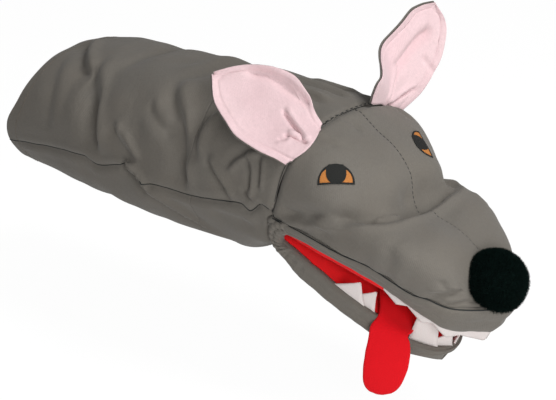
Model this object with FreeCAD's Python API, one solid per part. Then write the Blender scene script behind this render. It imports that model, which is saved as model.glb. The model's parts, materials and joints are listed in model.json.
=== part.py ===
import FreeCAD, Part
import math
import os
from FreeCAD import Placement, Rotation
from FreeCAD import Vector as V

# Sock puppet worn on the forearm, nose along +X, the puppet's left along +Y, +Z up.
# The origin is the centre of the cuff, where the hand goes in.  Millimetres and degrees.

# Sleeve
cuff_half_width = 76.0
cuff_half_height = 64.0
cuff_lean = 48.0
forearm_half_width = 80.0
back_height = 68.0
belly_depth = 78.0
neck_half_width = 76.0
sleeve_length = 294.0
hinge_drop = 39.0
wrist_station = 182.0
side_seam_height = -26.0
hem_width = 14.0
hem_fold = 1.5

# Cloth and clearances
cloth = 2.0
felt = 1.4
board = 2.0
gap = 0.3
seam_tape_width = 7.0

# Head, in its own frame: X along the lips, Z up, origin at the middle of the mouth hinge
head_pitch = 20.0
head_length = 181.0
head_half_width = 76.0
crown_height = 96.0
lip_band_height = 19.0
palate_height = 2.0
pompom_radius = 23.0
nose_clearance = 1.2
eye_width = 29.0
eye_height = 15.5
eye_rim = 1.8
eye_cloth = 0.8
pupil_radius = 8.0

# Lower jaw, in its own frame: X along the rim, Z up, origin at the middle of the mouth hinge
jaw_pitch = 31.5
jaw_length = 161.0
jaw_half_width = 70.0
jaw_rim_drop = 5.0
jaw_band_height = 14.0
chin_depth = 17.0

# Hand pockets
finger_pocket_width = 92.0
finger_pocket_height = 26.0
finger_pocket_length = 118.0
wadding_thickness = 13.0
hand_room_length = 112.0
thumb_pocket_width = 38.0
thumb_pocket_height = 15.0
thumb_pocket_length = 72.0

# Teeth
lower_tooth_base = 29.0
lower_tooth_height = 18.0
lower_tooth_start = 66.0
chin_tooth_base = 11.0
chin_tooth_height = 11.0
chin_tooth_start = 142.0
upper_tooth_base = 24.0
upper_tooth_height = 8.0
upper_tooth_start = 78.0
tooth_root = 3.0

# Ears
ear_length = 97.0
ear_half_width = 34.0
ear_base_half_width = 25.0
ear_tip_half_width = 7.0
right_ear_tilt = 59.0
left_ear_tilt = -10.0
ear_base_hollow = 8.5
right_ear_stand_off = 3.7
left_ear_stand_off = 4.5

# Tongue
tongue_width = 42.0
tongue_station = 123.0
tongue_root_run = 40.0
tongue_hang = 52.0
tongue_gap = 1.0

# Cross-sections of the head, rear to nose.  Each row: station as a share of the head's length, lip
# and lip-seam half widths, then (half width, height) of the cheek, crease, shoulder and top, and the
# height of the middle seam.  Widths and heights are drawn at a half width of 76 and a crown of 96.
HEAD_FORM = (
    (0.00, 70, 73, (75, 38), (75, 60), (65, 80), (36, 92), 96),
    (0.12, 68, 72, (74, 32), (76, 52), (67, 76), (38, 89), 91),
    (0.25, 64, 69, (71, 34), (73, 50), (62, 70), (36, 84), 86),
    (0.35, 60, 66, (70, 36), (64, 50), (52, 62), (30, 74), 76),
    (0.43, 57, 63, (69, 36), (65, 50), (48, 54), (26, 57), 58),
    (0.51, 54, 61, (68, 36), (65, 51), (46, 57), (24, 56), 53),
    (0.62, 49, 57, (63, 36), (61, 51), (44, 57), (22, 56), 52),
    (0.73, 45, 52, (54, 35), (50, 47), (38, 53), (20, 53), 49),
    (0.83, 39, 43, (43, 33), (38, 42), (28, 47), (14, 46), 43),
    (0.91, 28, 28, (26, 26), (22, 30), (15, 32), (8, 32), 31),
    (0.97, 14, 13, (12, 22), (10, 24), (7, 26), (4, 26.5), 26),
    (1.00, 4, 4, (3.8, 20), (3.3, 21), (2.6, 22), (1.5, 22.4), 22.5),
)
FORM_HALF_WIDTH = 76.0
FORM_CROWN = 96.0
# How a wall's thickness is taken off each point, from the lip to the middle seam: across and down
INWARD = ((1, 0), (1, 0), (1, 0), (0.95, 0.3), (0.6, 0.8), (0.2, 1), (0, 1))
TIP_SHARE = 0.3
# How far along the head the eyes lie, and each eye: name, side, the neighbour of the shoulder's line
# that it is pulled towards and how far, the run of its flat edge and the way that it faces
EYE_SHARE = 0.225
EYES = (
    ("right", -1, 3, 0.14, V(19, 17, 7), V(0.28, -0.66, 0.69)),
    ("left", 1, 5, 0.30, V(19, -12, 0), V(0.25, 0.52, 0.82)),
)
# How far below the skin an eye's cutting prism starts, and its length
EYE_CUT_DEPTH = 12.0
EYE_CUT_REACH = 30.0
# The gap between an eye's black cloth and its patch, and the pupil's height as a share of the eye's
EYE_SEAT = 0.05
PUPIL_HEIGHT = 0.52
# How far a band's rounded front stands ahead of its last station
RIM_NOSE = 2.0

# The sleeve's form: share of its length, half width, bottom, top and the lean of the ring
SLEEVE_RINGS = (
    (0.00, cuff_half_width, -cuff_half_height, cuff_half_height, cuff_lean),
    (0.19, forearm_half_width - 1, 6 - belly_depth, back_height, cuff_lean * 0.29),
    (0.40, forearm_half_width, -belly_depth, back_height, 0.0),
    (0.64, forearm_half_width - 1, -belly_depth, back_height - 2, 0.0),
    (0.88, neck_half_width, 6 - belly_depth, back_height - 8, 16.0),
)
RING_SHARES = (0, 0.06, 0.12, 0.18, 0.24, 0.30, 0.36, 0.42, 0.48, 0.54, 0.60, 0.66, 0.72, 0.78, 0.86)
RING_POINTS = 16
# Its main folds: share of the length, angle round the sleeve (0 its left, 90 its back, 180 its right),
# how far the fold is drawn in, and its half length and half angle
SLEEVE_FOLDS = (
    (0.36, 150, 5.0, 15, 32),
    (0.19, 150, 3.5, 16, 35),
    (0.70, 152, 4.5, 15, 30),
    (0.53, 155, 2.5, 14, 26),
    (0.70, 214, 5.0, 38, 17),
    (0.35, 88, 4.0, 16, 30),
    (0.62, 90, 4.5, 17, 36),
    (0.22, 25, 4.0, 16, 34),
    (0.50, 25, 4.5, 15, 30),
    (0.74, 22, 4.5, 15, 28),
    (0.60, 325, 4.0, 30, 20),
    (0.36, 270, 4.5, 18, 36),
)
# How far the neck's seam stands behind the rear edges of the head and the jaw
NECK_GAP = 0.6
# Those rear edges: (half width, height) of the head's, drawn as HEAD_FORM is, from low to the middle,
# its lower corner, and (share of the jaw's half width, height) of the jaw's
HEAD_REAR = ((75, 35), (74.6, 63), (59, 83), (34, 92.4), (0, 96))
HEAD_REAR_CORNER = (71.5, 8)
JAW_REAR = ((0.98, -7.0), (0.58, -20.5), (0, -25.0))
# The ring past the neck's seam that steers the sleeve's end: how far on, how much narrower, higher
# below and lower above than the sleeve it is, and its lean
PAST_NECK_REACH = 36.0
PAST_NECK_INSET = 4.0
PAST_NECK_RISE = 10.0
PAST_NECK_DROP = 17.0
PAST_NECK_LEAN = 48.0

mouth_hinge = V(sleeve_length, 0, -hinge_drop)
head_place = Placement(mouth_hinge, Rotation(V(0, 1, 0), head_pitch))
jaw_place = Placement(mouth_hinge, Rotation(V(0, 1, 0), jaw_pitch))
PARTS = {}
# Half size of the boxes that split or trim a shape: well past the whole puppet
FAR = 1000.0


# ---------------------------------------------------------------- helpers

def keep(name, shape, place=None):
    """Store one node, moved from its own frame into the puppet's frame."""
    solid = shape.copy()
    if place is not None:
        solid = solid.transformed(place.toMatrix())
    PARTS[name] = solid


def slab(low, high):
    """An axis-aligned box between two corners."""
    size = V(*high) - V(*low)
    return Part.makeBox(size.x, size.y, size.z, V(*low))


def spline(points):
    curve = Part.BSplineCurve()
    curve.interpolate(Points=points)
    return curve.toShape()


def closed_spline(points):
    """A closed curve with evenly numbered knots, so that rings of unlike shape loft cleanly."""
    curve = Part.BSplineCurve()
    steps = [float(step) for step in range(len(points) + 1)]
    curve.interpolate(Points=points, PeriodicFlag=True, Parameters=steps)
    return curve.toShape()


def prism(points, direction, base=V(0, 0, 0)):
    """A straight-sided prism on a polygon."""
    corners = [p + base for p in points]
    return Part.Face(Part.makePolygon(corners + corners[:1])).extrude(direction)


def mirrored(half):
    """Both halves of a section from the points of its right half."""
    right = [V(p.x, -p.y, p.z) for p in half]
    left = [V(p.x, p.y, p.z) for p in half[:-1]]
    return right + left[::-1]


def arch_loft(half_sections):
    """A solid lofted through arched sections, each closed by a straight line across."""
    wires = []
    for half in half_sections:
        points = mirrored(half)
        wires.append(Part.Wire([spline(points), Part.makeLine(points[-1], points[0])]))
    return Part.makeLoft(wires, True, False)


def strip_loft(outers, inners):
    """A thin wall lofted between an outer and an inner curve at each station."""
    wires = []
    for outer, inner in zip(outers, inners):
        wires.append(Part.Wire([
            spline(outer), Part.makeLine(outer[-1], inner[-1]),
            spline(inner[::-1]), Part.makeLine(inner[0], outer[0]),
        ]))
    return Part.makeLoft(wires, True, False)


def rim_wire(half_width_at, stations, inset_out, inset_in, height):
    """A U-shaped closed wire around the nose end of a mouth half, between two insets."""
    def side(inset):
        right = [V(x, -max(half_width_at(x) - inset, 0.6), height) for x in stations]
        nose = [V(stations[-1] + RIM_NOSE - inset, 0, height)]
        left = [V(p.x, -p.y, height) for p in reversed(right)]
        return right + nose + left

    outer = side(inset_out)
    inner = side(inset_in)
    return Part.Wire([
        spline(outer), Part.makeLine(outer[-1], inner[-1]),
        spline(inner[::-1]), Part.makeLine(inner[0], outer[0]),
    ])


# ---------------------------------------------------------------- head form

def head_half_section(row, inset):
    """The half-section of one row of the head's form, drawn in by inset, less at the narrow tip."""
    inset = min(inset, TIP_SHARE * row[1])
    across = head_half_width / FORM_HALF_WIDTH
    up = crown_height / FORM_CROWN
    station = row[0] * head_length
    outline = [(row[1], 0), (row[2], lip_band_height / up)] + list(row[3:7]) + [(0, row[7])]
    points = []
    for (y, z), (share_y, share_z) in zip(outline, INWARD):
        inner_y = max(y * across - inset * share_y, 0.35 * y * across)
        points.append(V(station, inner_y, z * up - inset * share_z))
    return points


def head_body(inset, first=1):
    """The head's solid form drawn in by inset.

    It starts at the seam above the lip band, or at the lip's edge where first is 0.
    """
    return arch_loft([head_half_section(row, inset)[first:] for row in HEAD_FORM])


def between(start, end):
    """Everything between two distances from the mouth hinge, in the head's or the jaw's frame."""
    return slab((start, -FAR, -FAR), (end, FAR, FAR))


def head_point(share, level, side=-1, inset=0.0):
    """A point on the head's skin: share of its length, index from lip to middle seam, side."""
    for low, high in zip(HEAD_FORM, HEAD_FORM[1:]):
        if share <= high[0]:
            break
    blend = (share - low[0]) / (high[0] - low[0])
    a = head_half_section(low, inset)[level]
    b = head_half_section(high, inset)[level]
    point = a + (b - a) * blend
    return V(point.x, side * point.y, point.z)


def lip_half_width(x):
    """Half width of the upper lip's edge at a distance from the hinge."""
    return abs(head_point(x / head_length, 0).y)


def seam_half_width(x):
    """Half width of the seam above the lip band at a distance from the hinge."""
    return abs(head_point(x / head_length, 1).y)


# ---------------------------------------------------------------- jaw form

def jaw_half_width_at(x):
    """Half width of the jaw's rim: a gentle taper rounded off at the chin."""
    share = min(max(x / jaw_length, 0.0), 0.995)
    taper = jaw_half_width * (1.0 - 0.31 * share)
    return taper * math.sqrt(1.0 - share ** 4)


def jaw_half_section(x, inset):
    """The half-section of the chin's underside, from the fold below the band to the middle."""
    half = jaw_half_width_at(x)
    share = x / jaw_length
    swell = chin_depth * math.sin(math.pi * min(0.18 + 0.72 * share, 1.0))
    fold = -jaw_rim_drop - jaw_band_height - gap / 2
    rows = (
        (half, fold, 1, 0),
        (half * 0.97, fold - 0.12 * swell, 0.6, 0.8),
        (half * 0.6, fold - 0.72 * swell, 0.3, 1),
        (0.0, fold - swell, 0, 1),
    )
    return [V(x, max(y - inset * sy, 0.3 * y), z + inset * sz) for y, z, sy, sz in rows]


# ---------------------------------------------------------------- sleeve form

def fold_depth(x, angle):
    """How far the sleeve's main folds draw its surface in at a station and an angle round it."""
    depth = 0.0
    for share, fold_angle, drawn_in, half_length, half_angle in SLEEVE_FOLDS:
        along = (x - share * sleeve_length) / half_length
        around = ((angle - fold_angle + 180) % 360 - 180) / half_angle
        depth += drawn_in * math.exp(-along ** 2 - around ** 2)
    return depth


def ring(centre_x, half_width, bottom, top, lean, inset):
    """A leaning rounded ring; lean is how far its top stands ahead of its bottom."""
    power = 2.4
    middle = (bottom + top) / 2
    points = []
    for step in range(RING_POINTS):
        angle = 360 * step / RING_POINTS
        drawn_in = inset + fold_depth(centre_x, angle)
        half_height = (top - bottom) / 2 - drawn_in
        c = math.cos(math.radians(angle))
        s = math.sin(math.radians(angle))
        y = (half_width - drawn_in) * math.copysign(abs(c) ** (2 / power), c)
        z = half_height * math.copysign(abs(s) ** (2 / power), s)
        points.append(V(centre_x + lean * z / (top - bottom), y, middle + z))
    return Part.Wire([closed_spline(points)])


def neck_ring(inset):
    """The ring at the neck seam: round the head's rear edge, then under the jaw's."""
    across = head_half_width / FORM_HALF_WIDTH
    up = crown_height / FORM_CROWN
    head = [V(-NECK_GAP, y * across - inset, z * up - inset * z / FORM_CROWN) for y, z in HEAD_REAR]
    head[-1].y = 0
    jaw = [V(-NECK_GAP, y * jaw_half_width - inset, z + inset) for y, z in JAW_REAR]
    jaw[-1].y = 0
    corner = V(-NECK_GAP, HEAD_REAR_CORNER[0] * across - inset, HEAD_REAR_CORNER[1] * up)
    left = [head_place.multVec(p) for p in head]
    under = [jaw_place.multVec(p) for p in jaw]
    side = head_place.multVec(corner)
    half = left + [V(p.x, -p.y, p.z) for p in left[-2::-1]] + [V(side.x, -side.y, side.z)]
    rest = [V(p.x, -p.y, p.z) for p in under] + under[-2::-1] + [side]
    return Part.Wire([closed_spline(half + rest)])


def sleeve_body(inset):
    stations = [row[0] for row in SLEEVE_RINGS]
    rings = []
    for share in RING_SHARES:
        low = max(k for k in range(len(stations) - 1) if stations[k] <= share)
        blend = (share - stations[low]) / (stations[low + 1] - stations[low])
        sizes = [a + (b - a) * blend for a, b in zip(SLEEVE_RINGS[low][1:], SLEEVE_RINGS[low + 1][1:])]
        rings.append(ring(share * sleeve_length, *sizes, inset))
    past_neck = ring(sleeve_length + PAST_NECK_REACH, neck_half_width - PAST_NECK_INSET,
                     PAST_NECK_RISE - belly_depth, back_height - PAST_NECK_DROP, PAST_NECK_LEAN, inset)
    return Part.makeLoft(rings + [neck_ring(inset), past_neck], True, False, False, 3)


# ---------------------------------------------------------------- sleeve pieces

def make_sleeve():
    """Back and belly panels joined at the side seams, the folded cuff hem and the loose neck."""
    tube = sleeve_body(0.0).cut(sleeve_body(cloth))
    forearm = tube.common(slab((-FAR, -FAR, -FAR), (wrist_station - gap / 2, FAR, FAR)))
    gather = tube.common(slab((wrist_station + gap / 2, -FAR, -FAR), (FAR, FAR, FAR)))
    corner = head_place.multVec(V(-NECK_GAP, 0, 0))
    edges = [
        corner, head_place.multVec(V(-NECK_GAP, 0, FAR)), V(-FAR, 0, FAR),
        V(-FAR, 0, -FAR), jaw_place.multVec(V(-NECK_GAP, 0, -FAR)),
    ]
    keep("neck_gather", gather.common(prism(edges, V(0, 2 * FAR, 0), V(0, -FAR, 0))))
    seam_low = side_seam_height - gap / 2
    seam_high = side_seam_height + gap / 2
    keep("sleeve_back_panel", forearm.common(slab((-FAR, -FAR, seam_high), (FAR, FAR, FAR))))
    keep("sleeve_belly_panel", forearm.common(slab((-FAR, -FAR, -FAR), (FAR, FAR, seam_low))))
    lining = sleeve_body(cloth + 0.05).cut(sleeve_body(cloth + hem_fold))
    lean = cuff_lean / (2 * cuff_half_height)
    corners = (
        V(-FAR * lean - 1, 0, -FAR),
        V(-FAR * lean + hem_width, 0, -FAR),
        V(FAR * lean + hem_width, 0, FAR),
        V(FAR * lean - 1, 0, FAR),
    )
    keep("cuff_hem", lining.common(prism(corners, V(0, 2 * FAR, 0), V(0, -FAR, 0))))


# ---------------------------------------------------------------- head pieces

def make_head_skin():
    """Right and left face panels that meet at the middle seam, above the lip band."""
    outers = [mirrored(head_half_section(row, 0.0)[1:]) for row in HEAD_FORM]
    inners = [mirrored(head_half_section(row, cloth)[1:]) for row in HEAD_FORM]
    for curve in outers + inners:
        curve[0] += V(0, 0, gap / 2)
        curve[-1] += V(0, 0, gap / 2)
    skin = strip_loft(outers, inners)
    keep("head_right_panel", skin.common(slab((-FAR, -FAR, -FAR), (FAR, -gap / 2, FAR))), head_place)
    keep("head_left_panel", skin.common(slab((-FAR, gap / 2, -FAR), (FAR, FAR, FAR))), head_place)


def plate(half_width_at, inset, rear, front, low, high):
    """A flat plate inside a mouth half, between two heights."""
    stations = [rear + (front - rear) * step / 9 for step in range(10)]
    right = [V(x, -(half_width_at(x) - inset), low) for x in stations]
    left = [V(p.x, -p.y, low) for p in reversed(right)]
    outline = Part.Wire([
        spline(right), Part.makeLine(right[-1], left[0]),
        spline(left), Part.makeLine(left[-1], right[0]),
    ])
    return Part.Face(outline).extrude(V(0, 0, high - low))


def pocket(size, rear, floor, taper):
    """A flat cloth pocket, open behind and closed in front, and the room that it takes up."""
    length, width, height = size

    def form(inset, start, end):
        wires = []
        for x in (start, end):
            share = 1.0 - (1.0 - taper) * (x - rear) / length
            half = width / 2 * share - inset
            low = floor + max(inset, 0.0)
            high = floor + height * (0.5 + 0.5 * share) - inset
            middle = (low + high) / 2
            flat = half - (high - low) / 2 + 0.2
            corners = (V(x, -flat, low), V(x, flat, low), V(x, flat, high), V(x, -flat, high))
            wires.append(Part.Wire([
                Part.makeLine(corners[0], corners[1]),
                Part.Arc(corners[1], V(x, half, middle), corners[2]).toShape(),
                Part.makeLine(corners[2], corners[3]),
                Part.Arc(corners[3], V(x, -half, middle), corners[0]).toShape(),
            ]))
        return Part.makeLoft(wires, True, True)

    bag = form(0.0, rear, rear + length).cut(form(felt, rear - 1.0, rear + length - felt))
    return bag, form(-gap, rear - 10.0, rear + length + gap)


def make_lip_bands():
    """The folded cloth bands round the upper lip and the jaw's rim."""
    stations = [head_length * share for share in (0.02, 0.12, 0.25, 0.4, 0.55, 0.7, 0.8, 0.88, 0.94)]
    low = rim_wire(lip_half_width, stations, 0.0, cloth, 0.0)
    high = rim_wire(seam_half_width, stations, 0.0, cloth, lip_band_height - gap / 2)
    keep("upper_lip_band", Part.makeLoft([low, high], True, True), head_place)
    stations = [jaw_length * share for share in (0.03, 0.12, 0.28, 0.45, 0.62, 0.77, 0.88, 0.95)]
    fold = -jaw_rim_drop - jaw_band_height
    low = rim_wire(jaw_half_width_at, stations, 0.0, cloth, fold)
    middle = rim_wire(jaw_half_width_at, stations, -1.5, cloth - 1.5, (fold - jaw_rim_drop) / 2)
    high = rim_wire(jaw_half_width_at, stations, 0.0, cloth, -jaw_rim_drop)
    keep("lower_lip_band", Part.makeLoft([low, middle, high], True, True), jaw_place)


def make_head_inside():
    """Palate felt, stiffening board, finger pocket, wadding and the tape over the neck seam."""
    inside = cloth + felt + 1.5
    front = head_length * 0.93
    board_low = palate_height + felt + 0.05
    lining = plate(lip_half_width, inside, 4.0, front, palate_height, palate_height + felt)
    keep("palate_lining", lining, head_place)
    stiffener = plate(lip_half_width, inside + 1.0, 5.0, front - 2, board_low, board_low + board)
    keep("upper_jaw_board", stiffener, head_place)
    floor = board_low + board + 0.05
    size = (finger_pocket_length, finger_pocket_width, finger_pocket_height)
    bag, room = pocket(size, 9.0, floor, 0.62)
    keep("finger_pocket", bag, head_place)
    hand_room = head_body(cloth + gap + wadding_thickness).common(between(-1.0, hand_room_length))
    wadding = head_body(cloth + gap).common(between(9.0 + gap, head_length * 0.9))
    keep("head_padding", wadding.cut(hand_room).cut(room), head_place)
    tape = head_body(cloth + gap).cut(head_body(cloth + gap + felt))
    keep("neck_seam_tape", tape.common(between(2.0, 2.0 + seam_tape_width)), head_place)


def make_nose():
    """The pompom, seated on the snout: its foot follows the highest line of each of the form's rows."""
    centre = V(head_length * 0.906, 0, crown_height * 0.396)
    up = crown_height / FORM_CROWN
    foot = []
    for row in HEAD_FORM[6:]:
        top = max(row[7], row[5][1], row[6][1]) * up
        foot.append(V(row[0] * head_length, 0, top + nose_clearance))
    below = [V(foot[-1].x + pompom_radius, 0, -FAR), V(foot[0].x, 0, -FAR)]
    seat = prism(foot + below, V(0, 2 * FAR, 0), V(0, -FAR, 0))
    ball = Part.makeSphere(pompom_radius, centre)
    keep("nose_pompom", ball.cut(seat), head_place)


def eye_outline(centre, along, up, inset):
    """The half-moon outline of an eye, flat below: its three corner points drawn in by inset."""
    half = eye_width / 2 - inset
    low = centre + up * inset
    top = centre + up * (eye_height - inset)
    start = low - along * half
    end = low + along * half
    return Part.Wire([Part.makeLine(start, end), Part.Arc(end, top, start).toShape()])


def make_eyes():
    """Each eye: an orange half-moon patch, and a black rim with a round pupil over it."""
    patch_top = gap / 2 + eye_cloth
    patch_skin = head_body(-patch_top).cut(head_body(-gap / 2))
    black_skin = head_body(-patch_top - eye_cloth).cut(head_body(-patch_top - EYE_SEAT))
    for name, side, neighbour, pull, run, facing in EYES:
        along = V(run).normalize()
        outward = (facing - along * facing.dot(along)).normalize()
        up = along.cross(outward)
        up = up if up.z > 0 else up * -1
        shoulder = head_point(EYE_SHARE, 4, side)
        centre = shoulder + (head_point(EYE_SHARE, neighbour, side) - shoulder) * pull
        base = centre - outward * EYE_CUT_DEPTH
        reach = outward * EYE_CUT_REACH
        outline = eye_outline(base, along, up, 0.0)
        moon = Part.Face(outline).extrude(reach)
        window = Part.Face(eye_outline(base, along, up, eye_rim)).extrude(reach)
        pupil_centre = base + up * (eye_height * PUPIL_HEIGHT)
        pupil = Part.Face(Part.Wire(Part.makeCircle(pupil_radius, pupil_centre, outward))).extrude(reach)
        rim = moon.cut(window).fuse(pupil.common(moon))
        keep(name + "_eye_patch", patch_skin.common(moon), head_place)
        keep(name + "_eye_black", black_skin.common(rim), head_place)


# ---------------------------------------------------------------- teeth

def tooth_row(edge, places, base_length, height, root, up):
    """Felt triangles along an edge curve; each is a flat prism whose root hides behind the edge."""
    teeth = []
    for side, starts in places:
        for start in starts:
            a = edge(start, side)
            b = edge(start + base_length, side)
            run = b - a
            inward = V(run.y, -run.x, 0).normalize() * (felt * side)
            middle = (a + b) * 0.5
            points = (
                a - V(0, 0, up * root),
                b - V(0, 0, up * root),
                b,
                middle + V(0, 0, up * height) + run * 0.2,
                a,
            )
            teeth.append(prism(points, inward))
    return teeth[0].multiFuse(teeth[1:])


def make_teeth():
    """Zigzag felt teeth inside both lips."""
    inset = cloth + 2 * gap

    def upper_edge(x, side):
        return V(x, side * (lip_half_width(x) - inset), 0)

    def lower_edge(x, side):
        return V(x, side * (jaw_half_width_at(x) - inset), -jaw_rim_drop)

    upper_starts = [upper_tooth_start + upper_tooth_base * n for n in range(3)]
    upper = tooth_row(
        upper_edge, ((-1, upper_starts), (1, upper_starts)),
        upper_tooth_base, upper_tooth_height, palate_height + felt, -1)
    keep("upper_teeth", upper, head_place)
    lower_starts = [lower_tooth_start, lower_tooth_start + lower_tooth_base]
    lower = tooth_row(
        lower_edge, ((-1, lower_starts[:1]), (1, lower_starts)),
        lower_tooth_base, lower_tooth_height, tooth_root, 1)
    chin_starts = [chin_tooth_start, chin_tooth_start - chin_tooth_base]
    chin = tooth_row(
        lower_edge, ((-1, chin_starts[:1]), (1, chin_starts)),
        chin_tooth_base, chin_tooth_height, tooth_root, 1)
    keep("lower_teeth", lower.fuse(chin), jaw_place)


# ---------------------------------------------------------------- jaw pieces

def make_jaw():
    """The chin panel, with felt, board, thumb pocket and wadding inside."""
    stations = [jaw_length * share for share in (0.04, 0.12, 0.28, 0.45, 0.62, 0.77, 0.88, 0.95)]
    outers = [mirrored(jaw_half_section(x, 0.0)) for x in stations]
    inners = [mirrored(jaw_half_section(x, cloth)) for x in stations]
    keep("chin_panel", strip_loft(outers, inners), jaw_place)
    inside = cloth + 2 * felt + 2.0
    lining_top = -jaw_rim_drop
    board_top = lining_top - felt - 0.05
    front = jaw_length * 0.93
    lining = plate(jaw_half_width_at, inside, 5.0, front, lining_top - felt, lining_top)
    keep("jaw_lining", lining, jaw_place)
    stiffener = plate(jaw_half_width_at, inside + 1.0, 6.0, front - 2, board_top - board, board_top)
    keep("lower_jaw_board", stiffener, jaw_place)
    ceiling = board_top - board - 0.05
    size = (thumb_pocket_length, thumb_pocket_width, thumb_pocket_height)
    bag, room = pocket(size, 8.0, ceiling - thumb_pocket_height, 0.8)
    keep("thumb_pocket", bag, jaw_place)
    wadding = arch_loft([jaw_half_section(x, cloth + gap) for x in stations])
    fold = -jaw_rim_drop - jaw_band_height - gap / 2
    side_wadding = plate(jaw_half_width_at, cloth + 2.5, stations[0], stations[-2], fold, ceiling - gap)
    wadding = wadding.common(between(stations[0], stations[-2])).fuse(side_wadding)
    clearance = [mirrored(jaw_half_section(x, cloth + gap)) for x in stations]
    keep("jaw_padding", wadding.cut(strip_loft(outers, clearance)).cut(room), jaw_place)


# ---------------------------------------------------------------- ears

def ear_outline(inset):
    """A leaf with a blunt tip, in the ear's frame: X along the base, Z towards the tip."""
    base = ear_base_half_width - inset
    middle = ear_half_width - inset
    tip = ear_tip_half_width - inset
    length = ear_length - inset
    right = [
        V(base, 0, 0), V(middle * 0.96, 0, length * 0.25), V(middle, 0, length * 0.45),
        V(middle * 0.72, 0, length * 0.78), V(tip, 0, length),
    ]
    left = [V(-p.x, 0, p.z) for p in reversed(right)]
    foot = Part.Arc(left[-1], V(0, 0, ear_base_hollow), right[0]).toShape()
    return Part.Face(Part.Wire([spline(right), Part.makeLine(right[-1], left[0]), spline(left), foot]))


def make_ears():
    """Each ear: a pink lining in front and a grey back behind, both hung on the neck seam."""
    ears = (
        ("right", -1, right_ear_tilt, right_ear_stand_off),
        ("left", 1, left_ear_tilt, left_ear_stand_off),
    )
    for name, side, tilt, stand_off in ears:
        high = head_place.multVec(head_point(0.01, 5, side))
        low = head_place.multVec(head_point(0.01, 3, side))
        along = (low - high).normalize()
        upright = (V(0, side * 0.46, 0.88) - along * V(0, side * 0.46, 0.88).dot(along)).normalize()
        backward = along.cross(upright)
        backward = backward if backward.x < 0 else backward * -1
        middle = high + (low - high) * 0.5 + upright * stand_off
        rotation = Rotation(along, tilt * (1 if along.cross(upright).dot(backward) > 0 else -1))
        blade = rotation.multVec(upright)
        front = rotation.multVec(backward) * -1
        frame = FreeCAD.Matrix(
            along.x, front.x, blade.x, middle.x,
            along.y, front.y, blade.y, middle.y,
            along.z, front.z, blade.z, middle.z,
            0, 0, 0, 1)
        lining = ear_outline(0.8).extrude(V(0, felt, 0))
        back = ear_outline(0.0).extrude(V(0, -felt, 0))
        keep(name + "_ear_lining", lining.transformed(frame))
        keep(name + "_ear_back", back.transformed(frame))


# ---------------------------------------------------------------- tongue

def make_tongue():
    """A felt tongue: its root lies on the jaw's felt, its tip hangs over the right lip."""
    half = tongue_width / 2
    reach = 0.8 * half
    lift = -jaw_rim_drop + gap
    stand_off = cloth + tongue_gap

    def rim_point(x, out):
        return V(x, -jaw_half_width_at(x) - out, lift)

    back = V(tongue_station - tongue_root_run, 0, lift)
    line = (rim_point(tongue_station, 0) - back).normalize()
    beside = V(-line.y, line.x, 0) * reach
    rim_low = rim_point(tongue_station - reach, stand_off - 1.3 * gap)
    rim_high = rim_point(tongue_station + reach, stand_off - 1.3 * gap)
    outline = [
        rim_low, rim_high, back + beside + line * half, back + beside * 0.7,
        back - beside * 0.7, back - beside + line * half,
    ]
    keep("tongue_root", prism(outline, V(0, 0, felt)), jaw_place)

    start = jaw_place.multVec(rim_point(tongue_station - reach, stand_off))
    end = jaw_place.multVec(rim_point(tongue_station + reach, stand_off))
    over = (start + end) * 0.5
    across = (end - start).normalize()
    level = V(across.x, across.y, 0).normalize()
    outward = V(level.y, -level.x, 0)
    down = V(0, 0, -tongue_hang)
    curve = [
        end - over, level * half + down * 0.55, level * (half * 0.72) + down * 0.88, down,
        level * (-half * 0.72) + down * 0.88, level * -half + down * 0.5, start - over,
    ]
    curve = [point + over for point in curve]
    face = Part.Face(Part.Wire([spline(curve), Part.makeLine(curve[-1], curve[0])]))
    keep("tongue_tip", face.extrude(outward * felt))


def main():
    make_sleeve()
    make_head_skin()
    make_lip_bands()
    make_head_inside()
    make_nose()
    make_eyes()
    make_teeth()
    make_jaw()
    make_ears()
    make_tongue()
    os.makedirs("parts", exist_ok=True)
    for name, shape in PARTS.items():
        shape.exportStep(os.path.join("parts", name + ".step"))
        box = shape.optimalBoundingBox()
        print("%-20s valid %s solids %d volume %9.0f  x %.0f..%.0f y %.0f..%.0f z %.0f..%.0f" % (
            name, shape.isValid(), len(shape.Solids), shape.Volume,
            box.XMin, box.XMax, box.YMin, box.YMax, box.ZMin, box.ZMax))


main()
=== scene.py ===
import json
import math

import bpy
import numpy as np
from bpy.props import FloatProperty, FloatVectorProperty, IntProperty, PointerProperty
from mathutils import Matrix, Vector, noise
from mathutils.bvhtree import BVHTree


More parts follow.
